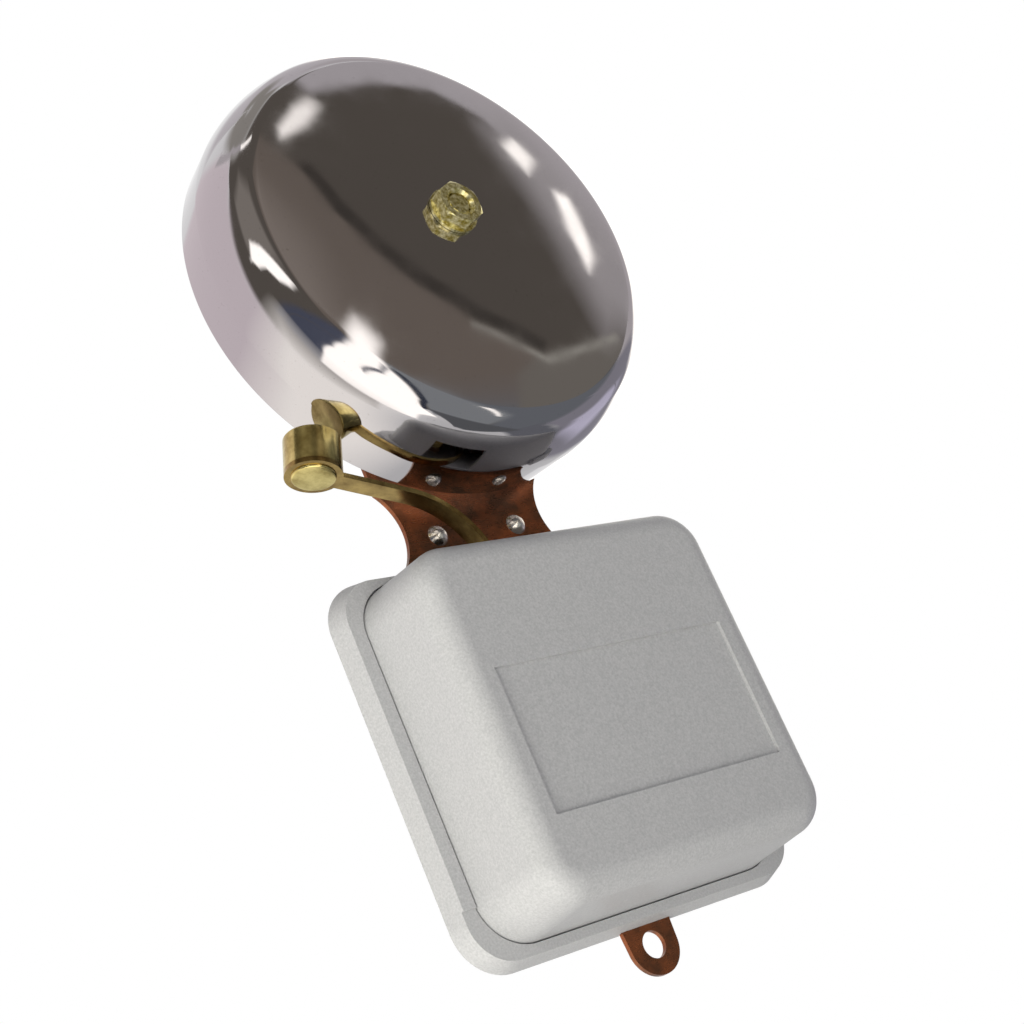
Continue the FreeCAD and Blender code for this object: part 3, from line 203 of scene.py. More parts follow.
# Soft boxes, all in one layer: strength next to the key, width of the soft edge, and corners.
BOX_LAYER = 5
SOFT_BOXES = {
    "left_box": (1.0, 2.5, [
        (-92, 21), (-72, 28), (-45, 25), (-25, 20), (-10, 15.5), (-25, 11), (-45, 10.5),
        (-60, 15.5), (-80, 16)]),
    "low_box": (1.0, 1.6, [
        (-93, -30), (-45, -21), (-15, -7), (5, 6), (23, 19), (24.6, 15.8), (12, 1.5), (3, -18),
        (-8, -40), (-25, -60), (-25, -72), (-93, -74)]),
    "left_floor": (0.66, 24, [(-172, -6), (-95, -6), (-95, -60), (-172, -56)]),
    "right_box": (1.0, 6, [
        (84, 14), (98, 30), (103, 50), (122, 57), (134, 46), (137, 30), (137, 8), (118, 1),
        (94, 4)]),
    "window_high": (0.9, 0.8, [(60.0, 31.3), (63.6, 32.6), (63.2, 35), (60.2, 34.6)]),
    "window_low": (1.0, 0.9, [(58.2, 21.2), (60.6, 22.6), (63.8, 28.6), (62, 29.4), (59.5, 25.6)]),
    "window_far": (0.75, 0.9, [
        (28.6, 40), (34, 41), (38.8, 43), (38, 44), (34.5, 43.4), (30, 41.6)]),
    "ceiling_strip": (1.0, 0.9, [
        (-38, 65.3), (-15, 60.2), (3, 55), (3, 56.8), (-15, 62.4), (-38, 67.7)]),
    "low_glint": (0.9, 0.7, [(28.8, -4), (31.2, -4), (30.7, -27), (29.3, -27)]),
}
# Soft boxes that light matt surfaces too.
LIT_BY = ("left_box", "low_box", "left_floor")


def linear(hex_colour):
    """An sRGB hex colour as the linear colour that shaders take."""
    channels = []
    for start in (1, 3, 5):
        value = int(hex_colour[start:start + 2], 16) / 255
        channels.append(value / 12.92 if value <= 0.04045 else ((value + 0.055) / 1.055) ** 2.4)
    return (*channels, 1.0)


def colour(name, hex_colour, description):
    """A colour that the user can change."""
    return FloatVectorProperty(
        name=name, description=description, subtype="COLOR", size=4, min=0, max=1,
        default=linear(hex_colour))


def length(name, metres, description):
    """A length that the user can change."""
    return FloatProperty(
        name=name, description=description, subtype="DISTANCE", unit="LENGTH", min=0,
        precision=5, default=metres)


def angle(name, degrees, description):
    """An angle that the user can change."""
    return FloatProperty(
        name=name, description=description, subtype="ANGLE", unit="ROTATION",
        default=math.radians(degrees))


def every(millimetres):
    """Scale of a noise whose grains are that many millimetres wide."""
    return 1 / (millimetres * MM)


def bands_every(millimetres):
    """Scale of a wave texture whose bands repeat after that many millimetres; at scale 1 they
    repeat after a twentieth of a full turn."""
    return math.tau / 20 / (millimetres * MM)


def empty_material(name):
    """A node material without nodes, and its tree."""
    material = bpy.data.materials.new(name)
    material.use_nodes = True
    material.node_tree.nodes.clear()
    return material, material.node_tree


def new_material(name):
    """A node material with its output, its shader and object coordinates."""
    material, tree = empty_material(name)
    output = add(tree, "ShaderNodeOutputMaterial")
    shader = add(tree, "ShaderNodeBsdfPrincipled")
    tree.links.new(shader.outputs["BSDF"], output.inputs["Surface"])
    coordinates = add(tree, "ShaderNodeTexCoord")
    return material, tree, shader, coordinates.outputs["Object"]


def add(tree, kind, settings=None, links=None):
    """Adds a node; settings are its properties or the values of its inputs, and links are
    the outputs that feed its inputs."""
    node = tree.nodes.new(kind)
    for name, value in (settings or {}).items():
        if isinstance(name, str) and hasattr(node, name):
            setattr(node, name, value)
        else:
            node.inputs[name].default_value = value
    for name, output in (links or {}).items():
        tree.links.new(output, node.inputs[name])
    return node


# Places of the colour mixing node's sockets.
MIX_FACTOR = 0
MIX_FIRST = 6
MIX_SECOND = 7
MIX_RESULT = 2


def noise(tree, place, width, detail, roughness=0.5):
    """Noise whose grains are that many millimetres wide."""
    return add(tree, "ShaderNodeTexNoise", {"Scale": every(width), "Detail": detail,
                                            "Roughness": roughness}, {"Vector": place})


def spread(tree, texture, low, high, start=0.0, end=1.0):
    """A texture's values from start to end, spread from low to high."""
    return add(tree, "ShaderNodeMapRange", {"From Min": start, "From Max": end, "To Min": low,
                                            "To Max": high}, {"Value": texture.outputs["Fac"]})


def dress(tree, shader, tones, gloss, relief):
    """Gives the shader its mixed colour, its varied roughness and its relief."""
    tree.links.new(tones.outputs[MIX_RESULT], shader.inputs["Base Color"])
    tree.links.new(gloss.outputs["Result"], shader.inputs["Roughness"])
    tree.links.new(relief.outputs["Normal"], shader.inputs["Normal"])


def new_object(context, name, vertices, faces, material):
    """A mesh object with one material, in the scene."""
    mesh = bpy.data.meshes.new(name)
    mesh.from_pydata(vertices, [], faces)
    mesh.materials.append(material)
    made = bpy.data.objects.new(name, mesh)
    context.scene.collection.objects.link(made)
    return made


def moulded_abs(colours):
    """Moulded ABS, spark-textured: an even grey with a fine pepper of lighter and darker
    grains, and a soft sheen that breaks up on the grain."""
    material, tree, shader, place = new_material("moulded_abs")
    # Spark texture is about 0.05 mm deep and 0.3 mm wide.
    grain = noise(tree, place, 0.32, 3.0, roughness=0.6)
    flow = noise(tree, place, 16, 2.0)
    pepper = spread(tree, grain, 0.0, 1.0, start=0.3, end=0.7)
    grains = add(tree, "ShaderNodeMix", {"data_type": "RGBA", MIX_FIRST: colours.abs_dark,
                                         MIX_SECOND: colours.abs_light},
                 {MIX_FACTOR: pepper.outputs["Result"]})
    drift = spread(tree, flow, 0.0, 0.22)
    tinted = add(tree, "ShaderNodeMix", {"data_type": "RGBA", MIX_SECOND: colours.abs_drift},
                 {MIX_FACTOR: drift.outputs["Result"], MIX_FIRST: grains.outputs[MIX_RESULT]})
    sheen = spread(tree, grain, 0.4, 0.55)
    relief = add(tree, "ShaderNodeBump", {"Strength": 0.35, "Distance": 0.03 * MM},
                 {"Height": grain.outputs["Fac"]})
    shader.inputs["IOR"].default_value = 1.53
    dress(tree, shader, tinted, sheen, relief)
    return material


def bright_chrome(colours):
    """Bright chromium on polished steel: a mirror with slow waves left by the buffing wheel,
    and a thin haze that softens the reflections here and there."""
    material, tree, shader, place = new_material("bright_chrome")
    # A buffing wheel leaves waves about 9 mm long and a few micrometres high.
    waves = noise(tree, place, 9, 1.0)
    haze = noise(tree, place, 6, 4.0)
    specks = noise(tree, place, 0.5, 2.0)
    polish = spread(tree, haze, 0.035, 0.1, start=0.35, end=0.75)
    dust = spread(tree, specks, 0.0, 0.35, start=0.68, end=0.78)
    plated = add(tree, "ShaderNodeMix", {"data_type": "RGBA", MIX_FIRST: colours.chrome,
                                         MIX_SECOND: colours.chrome_dull},
                 {MIX_FACTOR: dust.outputs["Result"]})
    relief = add(tree, "ShaderNodeBump", {"Strength": 1.0, "Distance": 0.012 * MM},
                 {"Height": waves.outputs["Fac"]})
    shader.inputs["Metallic"].default_value = 1.0
    dress(tree, shader, plated, polish, relief)
    return material


def plated_metal(name, first, second, patch, roughness, grain=0.25, stretch=(1, 1, 1),
                 relief_depth=0.004, metallic=1.0):
    """A metal with two tones in soft patches, and a fine grain that varies its gloss; patch
    and grain are widths in millimetres, and stretch draws the grain out along an axis."""
    material, tree, shader, place = new_material(name)
    patches = noise(tree, place, patch, 4.0, roughness=0.6)
    rolled = add(tree, "ShaderNodeMapping", {"Scale": stretch}, {"Vector": place})
    lines = noise(tree, rolled.outputs["Vector"], grain, 3.0)
    tone = spread(tree, patches, 0.0, 1.0, start=0.35, end=0.65)
    tones = add(tree, "ShaderNodeMix", {"data_type": "RGBA", MIX_FIRST: first,
                                        MIX_SECOND: second},
                {MIX_FACTOR: tone.outputs["Result"]})
    gloss = spread(tree, lines, *roughness)
    relief = add(tree, "ShaderNodeBump", {"Strength": 0.6, "Distance": relief_depth * MM},
                 {"Height": lines.outputs["Fac"]})
    shader.inputs["Metallic"].default_value = metallic
    dress(tree, shader, tones, gloss, relief)
    return material


def copper_washed_steel(colours):
    """Steel sheet with a thin copper wash: brown and olive where the wash is thin, redder
    where it is thick, with the sheet's rolling lines."""
    return plated_metal("copper_washed_steel", colours.copper_wash, colours.copper_thin,
                        patch=4.5, roughness=(0.2, 0.38), grain=0.3, stretch=(0.2, 1, 1),
                        metallic=0.8)


def lacquered_brass(colours):
    """Turned brass under lacquer: pale gold, a little duller in soft patches."""
    return plated_metal("lacquered_brass", colours.brass, colours.brass_dull, patch=2.5,
                        roughness=(0.13, 0.26), grain=0.25, stretch=(1, 1, 0.2))


def rolled_brass(colours):
    """Rolled brass strip, bent and lacquered: a brownish gold that mirrors its surroundings
    and darkens where the strip has aged."""
    return plated_metal("rolled_brass", colours.brass_strip, colours.brass_aged, patch=3.5,
                        roughness=(0.13, 0.24), grain=0.25, stretch=(1, 1, 0.2))


def turned_brass(colours):
    """Turned brass: bright gold with fine tool lines."""
    return plated_metal("turned_brass", colours.brass, colours.brass_dull, patch=2.0,
                        roughness=(0.2, 0.34), grain=0.2, stretch=(3, 1, 1))


def yellow_zinc_steel(colours):
    """Zinc with yellow chromate on steel: straw gold that turns greenish and pinkish."""
    return plated_metal("yellow_zinc_steel", colours.yellow_zinc, colours.yellow_zinc_pale,
                        patch=0.7, roughness=(0.18, 0.3), grain=0.4, relief_depth=0.002,
                        metallic=0.85)


def nickel_plated_rivet(colours):
    """Barrelled nickel on steel: bright and warm, faintly pitted."""
    return plated_metal("nickel_plated_rivet", colours.nickel, colours.nickel_dull, patch=1.2,
                        roughness=(0.18, 0.28), grain=0.18, relief_depth=0.001)


def zinc_plated_steel(colours):
    """Clear zinc on steel: cool grey with a faint spangle."""
    return plated_metal("zinc_plated_steel", colours.zinc, colours.zinc_dull, patch=1.2,
                        roughness=(0.22, 0.4), grain=0.2)


def annealed_iron(colours):
    """Annealed soft iron: mid grey, matt, with a brown cast in patches."""
    return plated_metal("annealed_iron", colours.iron, colours.iron_brown, patch=3.0,
                        roughness=(0.38, 0.6), grain=0.25, relief_depth=0.01)


def blued_spring_steel(colours):
    """Tempered spring strip: dark blue-grey with a straw edge to its patches."""
    return plated_metal("blued_spring_steel", colours.blued, colours.blued_straw, patch=2.5,
                        roughness=(0.22, 0.36), grain=0.15, stretch=(1, 1, 0.2))


def phosphor_bronze(colours):
    """Rolled phosphor bronze strip: warm orange-brown with rolling lines."""
    return plated_metal("phosphor_bronze", colours.bronze, colours.bronze_dull, patch=2.5,
                        roughness=(0.24, 0.38), grain=0.15, stretch=(1, 1, 0.2))


def contact_silver(colours):
    """Pressed contact silver: white metal, slightly tarnished."""
    return plated_metal("contact_silver", colours.silver, colours.silver_tarnish, patch=0.5,
                        roughness=(0.2, 0.34), grain=0.1)


def enamelled_copper_wire(colours):
    """Enamelled copper wire in close turns: red-brown metal under a clear glossy coat, with
    painted shade as a dark line between the turns."""
    material, tree, shader, place = new_material("enamelled_copper_wire")
    # The wire is 0.35 mm thick, so its turns repeat every 0.35 mm along the coil.
    turns = add(tree, "ShaderNodeTexWave", {"wave_type": "BANDS", "bands_direction": "X",
                                            "Scale": bands_every(0.35), "Distortion": 0.6,
                                            "Detail Scale": 2.0}, {"Vector": place})
    lay = noise(tree, place, 2.5, 2.0)
    # Painted shade: the groove colour darkens the troughs between the turns of wire.
    groove_shade = spread(tree, turns, 0.0, 1.0, start=0.05, end=0.5)
    wire = add(tree, "ShaderNodeMix", {"data_type": "RGBA", MIX_FIRST: colours.enamel,
                                       MIX_SECOND: colours.enamel_light},
               {MIX_FACTOR: lay.outputs["Fac"]})
    shaded = add(tree, "ShaderNodeMix", {"data_type": "RGBA", MIX_FIRST: colours.enamel_groove_shade},
                 {MIX_FACTOR: groove_shade.outputs["Result"], MIX_SECOND: wire.outputs[MIX_RESULT]})
    gloss = spread(tree, lay, 0.18, 0.34)
    relief = add(tree, "ShaderNodeBump", {"Strength": 0.9, "Distance": 0.12 * MM},
                 {"Height": turns.outputs["Fac"]})
    shader.inputs["Metallic"].default_value = 0.7
    shader.inputs["Coat Weight"].default_value = 0.8
    shader.inputs["Coat Roughness"].default_value = 0.12
    dress(tree, shader, shaded, gloss, relief)
    return material


def moulded_nylon(colours):
    """Moulded black nylon: near black with a soft sheen and faint flow marks."""
    return plain_plastic("moulded_nylon", colours.nylon, colours.nylon_grey, flow=4.0,
                         roughness=(0.38, 0.52), ior=1.53)


def paper_phenolic(colours):
    """Paper laminate bonded with phenolic resin: brown, with the sheets showing as fine
    lines at its sawn edges."""
    return plain_plastic("paper_phenolic", colours.phenolic, colours.phenolic_dark, flow=2.0,
                         roughness=(0.32, 0.5), ior=1.6, stretch=(0.2, 4, 0.2))


def plain_plastic(name, first, second, flow, roughness, ior, stretch=(1, 1, 1)):
    """A plastic with two close tones and a fine grain; flow is the width in millimetres of
    its marks, and stretch draws them out along an axis."""
    material, tree, shader, place = new_material(name)
    drawn = add(tree, "ShaderNodeMapping", {"Scale": stretch}, {"Vector": place})
    marks = noise(tree, drawn.outputs["Vector"], flow, 3.0)
    grain = noise(tree, place, 0.2, 2.0)
    tones = add(tree, "ShaderNodeMix", {"data_type": "RGBA", MIX_FIRST: first,
                                        MIX_SECOND: second},
                {MIX_FACTOR: marks.outputs["Fac"]})
    sheen = spread(tree, grain, *roughness)
    relief = add(tree, "ShaderNodeBump", {"Strength": 0.4, "Distance": 0.01 * MM},
                 {"Height": grain.outputs["Fac"]})
    shader.inputs["IOR"].default_value = ior
    dress(tree, shader, tones, sheen, relief)
    return material


def arc(centre, radius, start, end, steps):
    """Points on an arc about a (radius, depth) centre, from one angle to another."""
    points = []
    for step in range(steps + 1):
        turn = start + (end - start) * step / steps
        points.append((centre[0] + radius * math.cos(turn),
                       centre[1] + radius * math.sin(turn)))
    return points


class BellColours(bpy.types.PropertyGroup):
    """Colours of the bell's finishes."""

    abs_dark: colour("ABS, dark grain", "#A2A3A6", "Darker grains of the moulded grey")
    abs_light: colour("ABS, light grain", "#BBBCBE", "Lighter grains of the moulded grey")
    abs_drift: colour("ABS, drift", "#A9AAB0", "Bluish tone that drifts through the grey")
    chrome: colour("Chrome", "#BBB8BA", "Clean chromium")
    chrome_dull: colour("Chrome, dull", "#8A8684", "Dust and specks on the chromium")
    copper_wash: colour("Copper wash", "#9C5A36", "Where the copper wash is thick")
    copper_thin: colour("Copper wash, thin", "#5E402C", "Where steel shows through the wash")
    brass: colour("Brass", "#D6C684", "Lacquered or turned brass")
    brass_dull: colour("Brass, dull", "#A6955A", "Duller patches of the brass")
    brass_strip: colour("Brass strip", "#B89F62", "Rolled brass of the arm")
    brass_aged: colour("Brass strip, aged", "#80693C", "Darker stretches of the arm")
    yellow_zinc: colour("Yellow zinc", "#A0913E", "Chromated zinc")
    yellow_zinc_pale: colour("Yellow zinc, pale", "#EFE8B8", "Paler chromated zinc")
    nickel: colour("Nickel", "#E2DCD2", "Nickel plate")
    nickel_dull: colour("Nickel, dull", "#D2CBBF", "Duller nickel plate")
    zinc: colour("Zinc", "#BEC2C6", "Clear zinc plate")
    zinc_dull: colour("Zinc, dull", "#A3A8AD", "Duller clear zinc plate")
    iron: colour("Soft iron", "#8C8B8A", "Annealed iron")
    iron_brown: colour("Soft iron, brown", "#7D756C", "Brown cast on annealed iron")
    blued: colour("Spring steel", "#5C6470", "Tempered blue-grey strip")
    blued_straw: colour("Spring steel, straw", "#7A766C", "Straw tone of the strip")
    bronze: colour("Bronze", "#C08A5A", "Phosphor bronze strip")
    bronze_dull: colour("Bronze, dull", "#A87A52", "Duller bronze")
    silver: colour("Silver", "#DEDCD6", "Contact silver")
    silver_tarnish: colour("Silver, tarnished", "#B8B2A4", "Tarnish on the silver")
    enamel: colour("Wire enamel", "#8A4A2E", "Enamelled copper wire")
    enamel_light: colour("Wire enamel, light", "#A9603C", "Lighter turns of the wire")
    enamel_groove_shade: colour("Wire groove", "#2E170E", "Shade between two turns of wire")
    nylon: colour("Nylon", "#1E1E20", "Black nylon bobbin")
    nylon_grey: colour("Nylon, grey", "#2A2A2C", "Flow marks in the nylon")
    phenolic: colour("Phenolic", "#6A4429", "Paper laminate")
    phenolic_dark: colour("Phenolic, dark", "#4E3120", "Darker sheets of the laminate")


class GongSizes(bpy.types.PropertyGroup):
    """Sizes of the gong's section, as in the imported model."""

    skirt_radius: length("Skirt radius", (GONG_HIGH.x - GONG_LOW.x) / 2,
                         "Radius of the gong at the top of its skirt")
    rim_depth: length("Rim depth", -GONG_HIGH.y, "Distance of the rim from the wall")
    skirt_height: length("Skirt height", 6.9 * MM, "Height of the straight skirt")
    flare: length("Flare", 0.6 * MM, "How far the skirt draws in at the rim")
    wall: length("Wall", 1.2 * MM, "Thickness of the metal")
    shoulder_curve: length("Shoulder curve", 19 * MM, "Radius of the shoulder's arc")
    shoulder_angle: angle("Shoulder angle", 25, "Turn of the shoulder's arc")
    crown_curve: length("Crown curve", 4.8 * MM, "Radius of the arc round the crown")
    crown_angle: angle("Crown angle", 81, "Where the crown's arc meets the dome")
    dome_rise: length("Dome rise", 2.55 * MM, "Height of the shallow dome")
    bore_radius: length("Bore radius", 2.15 * MM, "Radius of the hole for the stud")
    rim_round: length("Rim rounding", 0.22 * MM, "Radius of the rim's two edges")
    divisions: IntProperty(name="Divisions", default=288, min=32,
                           description="Facets round the gong, fine enough for a mirror")


class HammerSizes(bpy.types.PropertyGroup):
    """Sizes of the striker's flattened rivet head."""

    eye_place: FloatVectorProperty(
        name="Eye", description="Middle of the outer face of the arm's eye",
        subtype="TRANSLATION", unit="LENGTH", precision=5,
        default=(-31.106 * MM, -9.5 * MM, 76.777 * MM))
    arm_lean: angle("Arm lean", 70, "How far the arm's end is bent over, from upright")
    head_radius: length("Head radius", 3.35 * MM, "Radius of the rivet head")
    head_height: length("Head height", 0.5 * MM, "Height of the rivet head")
    head_crown: length("Head crown", 0.12 * MM, "How far the head falls towards its edge")
    head_edge: length("Head edge", 0.3 * MM, "Rounding round the rivet head")
    head_seat: length("Head seat", 0.05 * MM, "How far the head bites into the eye")


class StageSizes(bpy.types.PropertyGroup):
    """Camera, floor and studio of the stage."""

    camera_place: FloatVectorProperty(
        name="Camera place", description="Where the camera stands", subtype="TRANSLATION",
        unit="LENGTH", precision=5, default=(-171.4 * MM, -202.802 * MM, -21.479 * MM))
    camera_aim: FloatVectorProperty(
        name="Camera aim", description="The point that the camera looks at",
        subtype="TRANSLATION", unit="LENGTH", precision=5,
        default=(0.589 * MM, -10 * MM, 66.759 * MM))
    camera_roll: angle("Camera roll", 23.973, "Turn of the camera about its line of sight")
    camera_lens: FloatProperty(name="Lens", description="Focal length on a 36 mm sensor",
                               default=62.8245, min=1, subtype="DISTANCE_CAMERA")
    floor_drop: FloatProperty(name="Floor height", description="Height of the floor",
                              default=-0.25, unit="LENGTH", subtype="DISTANCE")
    floor_size: length("Floor size", 6.0, "Side of the floor")
    card_distance: length("Card distance", 3.0, "How far the cards stand from the gong")
    key_strength: FloatProperty(name="Key strength", default=2.2, min=0,
                                description="Brightness of the soft boxes")
    side_power: FloatProperty(name="Side lamp", default=2.0, min=0, subtype="POWER",
                              unit="POWER", description="Power of the lamp on the left")
    fill_strength: FloatProperty(name="Fill strength", default=0.58, min=0,
                                 description="Brightness of the room on matt surfaces")


def finish_nodes(finish, material):
    """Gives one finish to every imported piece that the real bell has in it."""
    for name in NODES_BY_FINISH[finish]:
        for slot in frame["nodes"][name].material_slots:
            slot.material = material


class BELL_OT_housing(bpy.types.Operator):
    """Moulded plastic on the cover and the base tray"""

    bl_idname = "bell.housing"
    bl_label = "Housing"

    def execute(self, context):
        finish_nodes("moulded_abs", moulded_abs(context.scene.bell_colours))
        return {"FINISHED"}


class BELL_OT_plate(bpy.types.Operator):
    """Copper wash on the wall plate and the gong's bracket, nickel on their rivets"""

    bl_idname = "bell.plate"
    bl_label = "Plate and bracket"

    def execute(self, context):
        colours = context.scene.bell_colours
        finish_nodes("copper_washed_steel", copper_washed_steel(colours))
        finish_nodes("nickel_plated_rivet", nickel_plated_rivet(colours))
        return {"FINISHED"}


def gong_section(sizes, inset):
    """The gong's section from its middle to its skirt, inset from the outside by a wall, as
    (radius, depth) points, and the dome's depth as a function of the radius."""
    skirt_depth = sizes.rim_depth + sizes.skirt_height
    shoulder_middle = (sizes.skirt_radius - sizes.shoulder_curve, skirt_depth)
    reach = sizes.shoulder_curve - sizes.crown_curve
    crown_middle = (shoulder_middle[0] + reach * math.cos(sizes.shoulder_angle),
                    shoulder_middle[1] + reach * math.sin(sizes.shoulder_angle))
    crown = arc(crown_middle, sizes.crown_curve - inset, sizes.crown_angle,
                sizes.shoulder_angle, ARC_STEPS)
    shoulder = arc(shoulder_middle, sizes.shoulder_curve - inset, sizes.shoulder_angle, 0,
                   ARC_STEPS)
    half, edge_depth = crown[0]
    dome_radius = (half ** 2 + sizes.dome_rise ** 2) / (2 * sizes.dome_rise)
    top = edge_depth + sizes.dome_rise

    def dome_depth(radius):
        return top - dome_radius + math.sqrt(dome_radius ** 2 - radius ** 2)

    dome = []
    for step in range(DOME_STEPS):
        radius = sizes.bore_radius + (half - sizes.bore_radius) * step / DOME_STEPS
        dome.append((radius, dome_depth(radius)))
    return dome, crown + shoulder[1:], dome_depth


def gong_rings(sizes):
    """Rings of the whole shell as (radius, depth, dome depth function or None), from the
    bore over the outside, round the rim and back along the inside to the bore."""
    outer_dome, outer_side, outer_depth = gong_section(sizes, 0)
    inner_dome, inner_side, inner_depth = gong_section(sizes, sizes.wall)
    rim_radius = sizes.skirt_radius - sizes.flare
    edge = sizes.rim_round
    outer_rim = arc((rim_radius - edge, sizes.rim_depth + edge), edge, 0, -math.pi / 2,
                    RIM_STEPS)
    inner_rim = arc((rim_radius - sizes.wall + edge, sizes.rim_depth + edge), edge,
                    -math.pi / 2, -math.pi, RIM_STEPS)
    rings = [(radius, depth, outer_depth) for radius, depth in outer_dome]
    rings += [(radius, depth, None) for radius, depth in outer_side + outer_rim + inner_rim]
    rings += [(radius, depth, None) for radius, depth in reversed(inner_side)]
    rings += [(radius, depth, inner_depth) for radius, depth in reversed(inner_dome)]
    return rings


class BELL_OT_gong(bpy.types.Operator):
    """Chromed gong, turned as one shell about its own middle with the bore off centre"""

    bl_idname = "bell.gong"
    bl_label = "Gong"

    def execute(self, context):
        sizes = context.scene.bell_gong
        middle = ((GONG_LOW.x + GONG_HIGH.x) / 2, (GONG_LOW.z + GONG_HIGH.z) / 2)
        bore = ((POST_LOW.x + POST_HIGH.x) / 2, (POST_LOW.z + POST_HIGH.z) / 2)
        vertices = []
        for radius, depth, dome_depth in gong_rings(sizes):
            share = 0.0
            if dome_depth:
                share = max(0.0, (SETTLE_RADIUS - radius) / (SETTLE_RADIUS - sizes.bore_radius))
            shift_x = (bore[0] - middle[0]) * share
            shift_z = (bore[1] - middle[1]) * share
            for division in range(sizes.divisions):
                turn = math.tau * division / sizes.divisions
                x = shift_x + radius * math.cos(turn)
                z = shift_z + radius * math.sin(turn)
                if dome_depth:
                    depth = dome_depth(math.hypot(x, z))
                vertices.append((middle[0] + x, -depth, middle[1] + z))
        ring_count = len(vertices) // sizes.divisions
        faces = []
        for ring in range(ring_count):
            following = (ring + 1) % ring_count
            for division in range(sizes.divisions):
                beside = (division + 1) % sizes.divisions
                faces.append((ring * sizes.divisions + division,
                              following * sizes.divisions + division,
                              following * sizes.divisions + beside,
                              ring * sizes.divisions + beside))
        shell = new_object(context, "gong_shell", vertices, faces,
                           bright_chrome(context.scene.bell_colours))
        shell.data.validate()
        shell.data.shade_smooth()
        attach(shell, FIXED_BODY)
        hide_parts("gong")
        return {"FINISHED"}


class BELL_OT_gong_fastening(bpy.types.Operator):
    """Yellow zinc on the gong's post, washer and nut"""

    bl_idname = "bell.gong_fastening"
    bl_label = "Gong nut and post"

    def execute(self, context):
        finish_nodes("yellow_zinc_steel", yellow_zinc_steel(context.scene.bell_colours))
        return {"FINISHED"}


class BELL_OT_hammer(bpy.types.Operator):
    """Brass striker and arm, the striker's flattened rivet head, and the blued spring"""

    bl_idname = "bell.hammer"
    bl_label = "Hammer"

    def execute(self, context):
        colours = context.scene.bell_colours
        lacquered = lacquered_brass(colours)
        finish_nodes("lacquered_brass", lacquered)
        finish_nodes("rolled_brass", rolled_brass(colours))
        finish_nodes("blued_spring_steel", blued_spring_steel(colours))
        self.add_rivet_head(context, context.scene.bell_hammer, lacquered)
        return {"FINISHED"}

    def add_rivet_head(self, context, sizes, material):
        """The striker's end, beaten out flat over the eye of the arm."""
        edge = sizes.head_edge
        reach = sizes.head_radius - edge
        section = [(0, sizes.head_height)]
        for step in range(1, HEAD_RINGS + 1):
            share = step / HEAD_RINGS
            section.append((reach * share, sizes.head_height - sizes.head_crown * share ** 2))
        rise = section[-1][1]
        for step in range(1, HEAD_EDGE_RINGS + 1):
            turn = math.radians(90 * step / HEAD_EDGE_RINGS)
            section.append((reach + edge * math.sin(turn), rise * math.cos(turn)))
        section.append((sizes.head_radius, -sizes.head_seat))
        vertices = [(0, 0, sizes.head_height)]
        for radius, height in section[1:]:
            for division in range(HEAD_DIVISIONS):
                turn = math.tau * division / HEAD_DIVISIONS
                vertices.append((radius * math.cos(turn), radius * math.sin(turn), height))
        vertices.append((0, 0, -sizes.head_seat))
        faces = []
        last = len(vertices) - HEAD_DIVISIONS - 1
        for division in range(HEAD_DIVISIONS):
            beside = (division + 1) % HEAD_DIVISIONS
            faces.append((0, 1 + division, 1 + beside))
            faces.append((len(vertices) - 1, last + beside, last + division))
            for ring in range(1, last, HEAD_DIVISIONS):
                following = ring + HEAD_DIVISIONS
                faces.append((ring + division, following + division, following + beside,
                              ring + beside))
        head = new_object(context, "striker_rivet_head", vertices, faces, material)
        head.data.validate()
        outward = Vector((-math.cos(sizes.arm_lean), 0, -math.sin(sizes.arm_lean)))
        turn = outward.to_track_quat("Z", "Y").to_matrix().to_4x4()
        head.data.transform(Matrix.Translation(Vector(sizes.eye_place)) @ turn)
        head.data.shade_smooth()
        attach(head, HAMMER_BODY)


class BELL_OT_electromagnet(bpy.types.Operator):
    """Iron, bobbins and wound wire of the electromagnet"""

    bl_idname = "bell.electromagnet"
    bl_label = "Electromagnet"

    def execute(self, context):
        colours = context.scene.bell_colours
        finish_nodes("annealed_iron", annealed_iron(colours))
        finish_nodes("moulded_nylon", moulded_nylon(colours))
        finish_nodes("enamelled_copper_wire", enamelled_copper_wire(colours))
        return {"FINISHED"}


class BELL_OT_contacts(bpy.types.Operator):
    """Contact set, its insulating block and the small screws and rivets"""

    bl_idname = "bell.contacts"
    bl_label = "Contacts and screws"

    def execute(self, context):
        colours = context.scene.bell_colours
        finish_nodes("turned_brass", turned_brass(colours))
        finish_nodes("phosphor_bronze", phosphor_bronze(colours))
        finish_nodes("contact_silver", contact_silver(colours))
        finish_nodes("zinc_plated_steel", zinc_plated_steel(colours))
        finish_nodes("paper_phenolic", paper_phenolic(colours))
        return {"FINISHED"}


def heading(bearing, height):
    """Unit direction from the bell: bearing 0 is the front and 90 the right, in degrees, and
    height is above the horizon."""
    turn = math.radians(bearing)
    lift = math.radians(height)
    return Vector((math.sin(turn) * math.cos(lift), -math.cos(turn) * math.cos(lift),
                   math.sin(lift)))


def depth_inside(point, corners):
    """Distance of a point from the outline through the corners, negative outside it."""
    inside = False
    nearest = math.inf
    for start, end in zip(corners, corners[1:] + corners[:1]):
        if (start.y > point.y) != (end.y > point.y):
            crossing = start.x + (point.y - start.y) * (end.x - start.x) / (end.y - start.y)
            if point.x < crossing:
                inside = not inside
        foot, share = intersect_point_line(point, start, end)
        foot = start if share < 0 else end if share > 1 else foot.xy
        nearest = min(nearest, (point - foot).length)
    return nearest if inside else -nearest


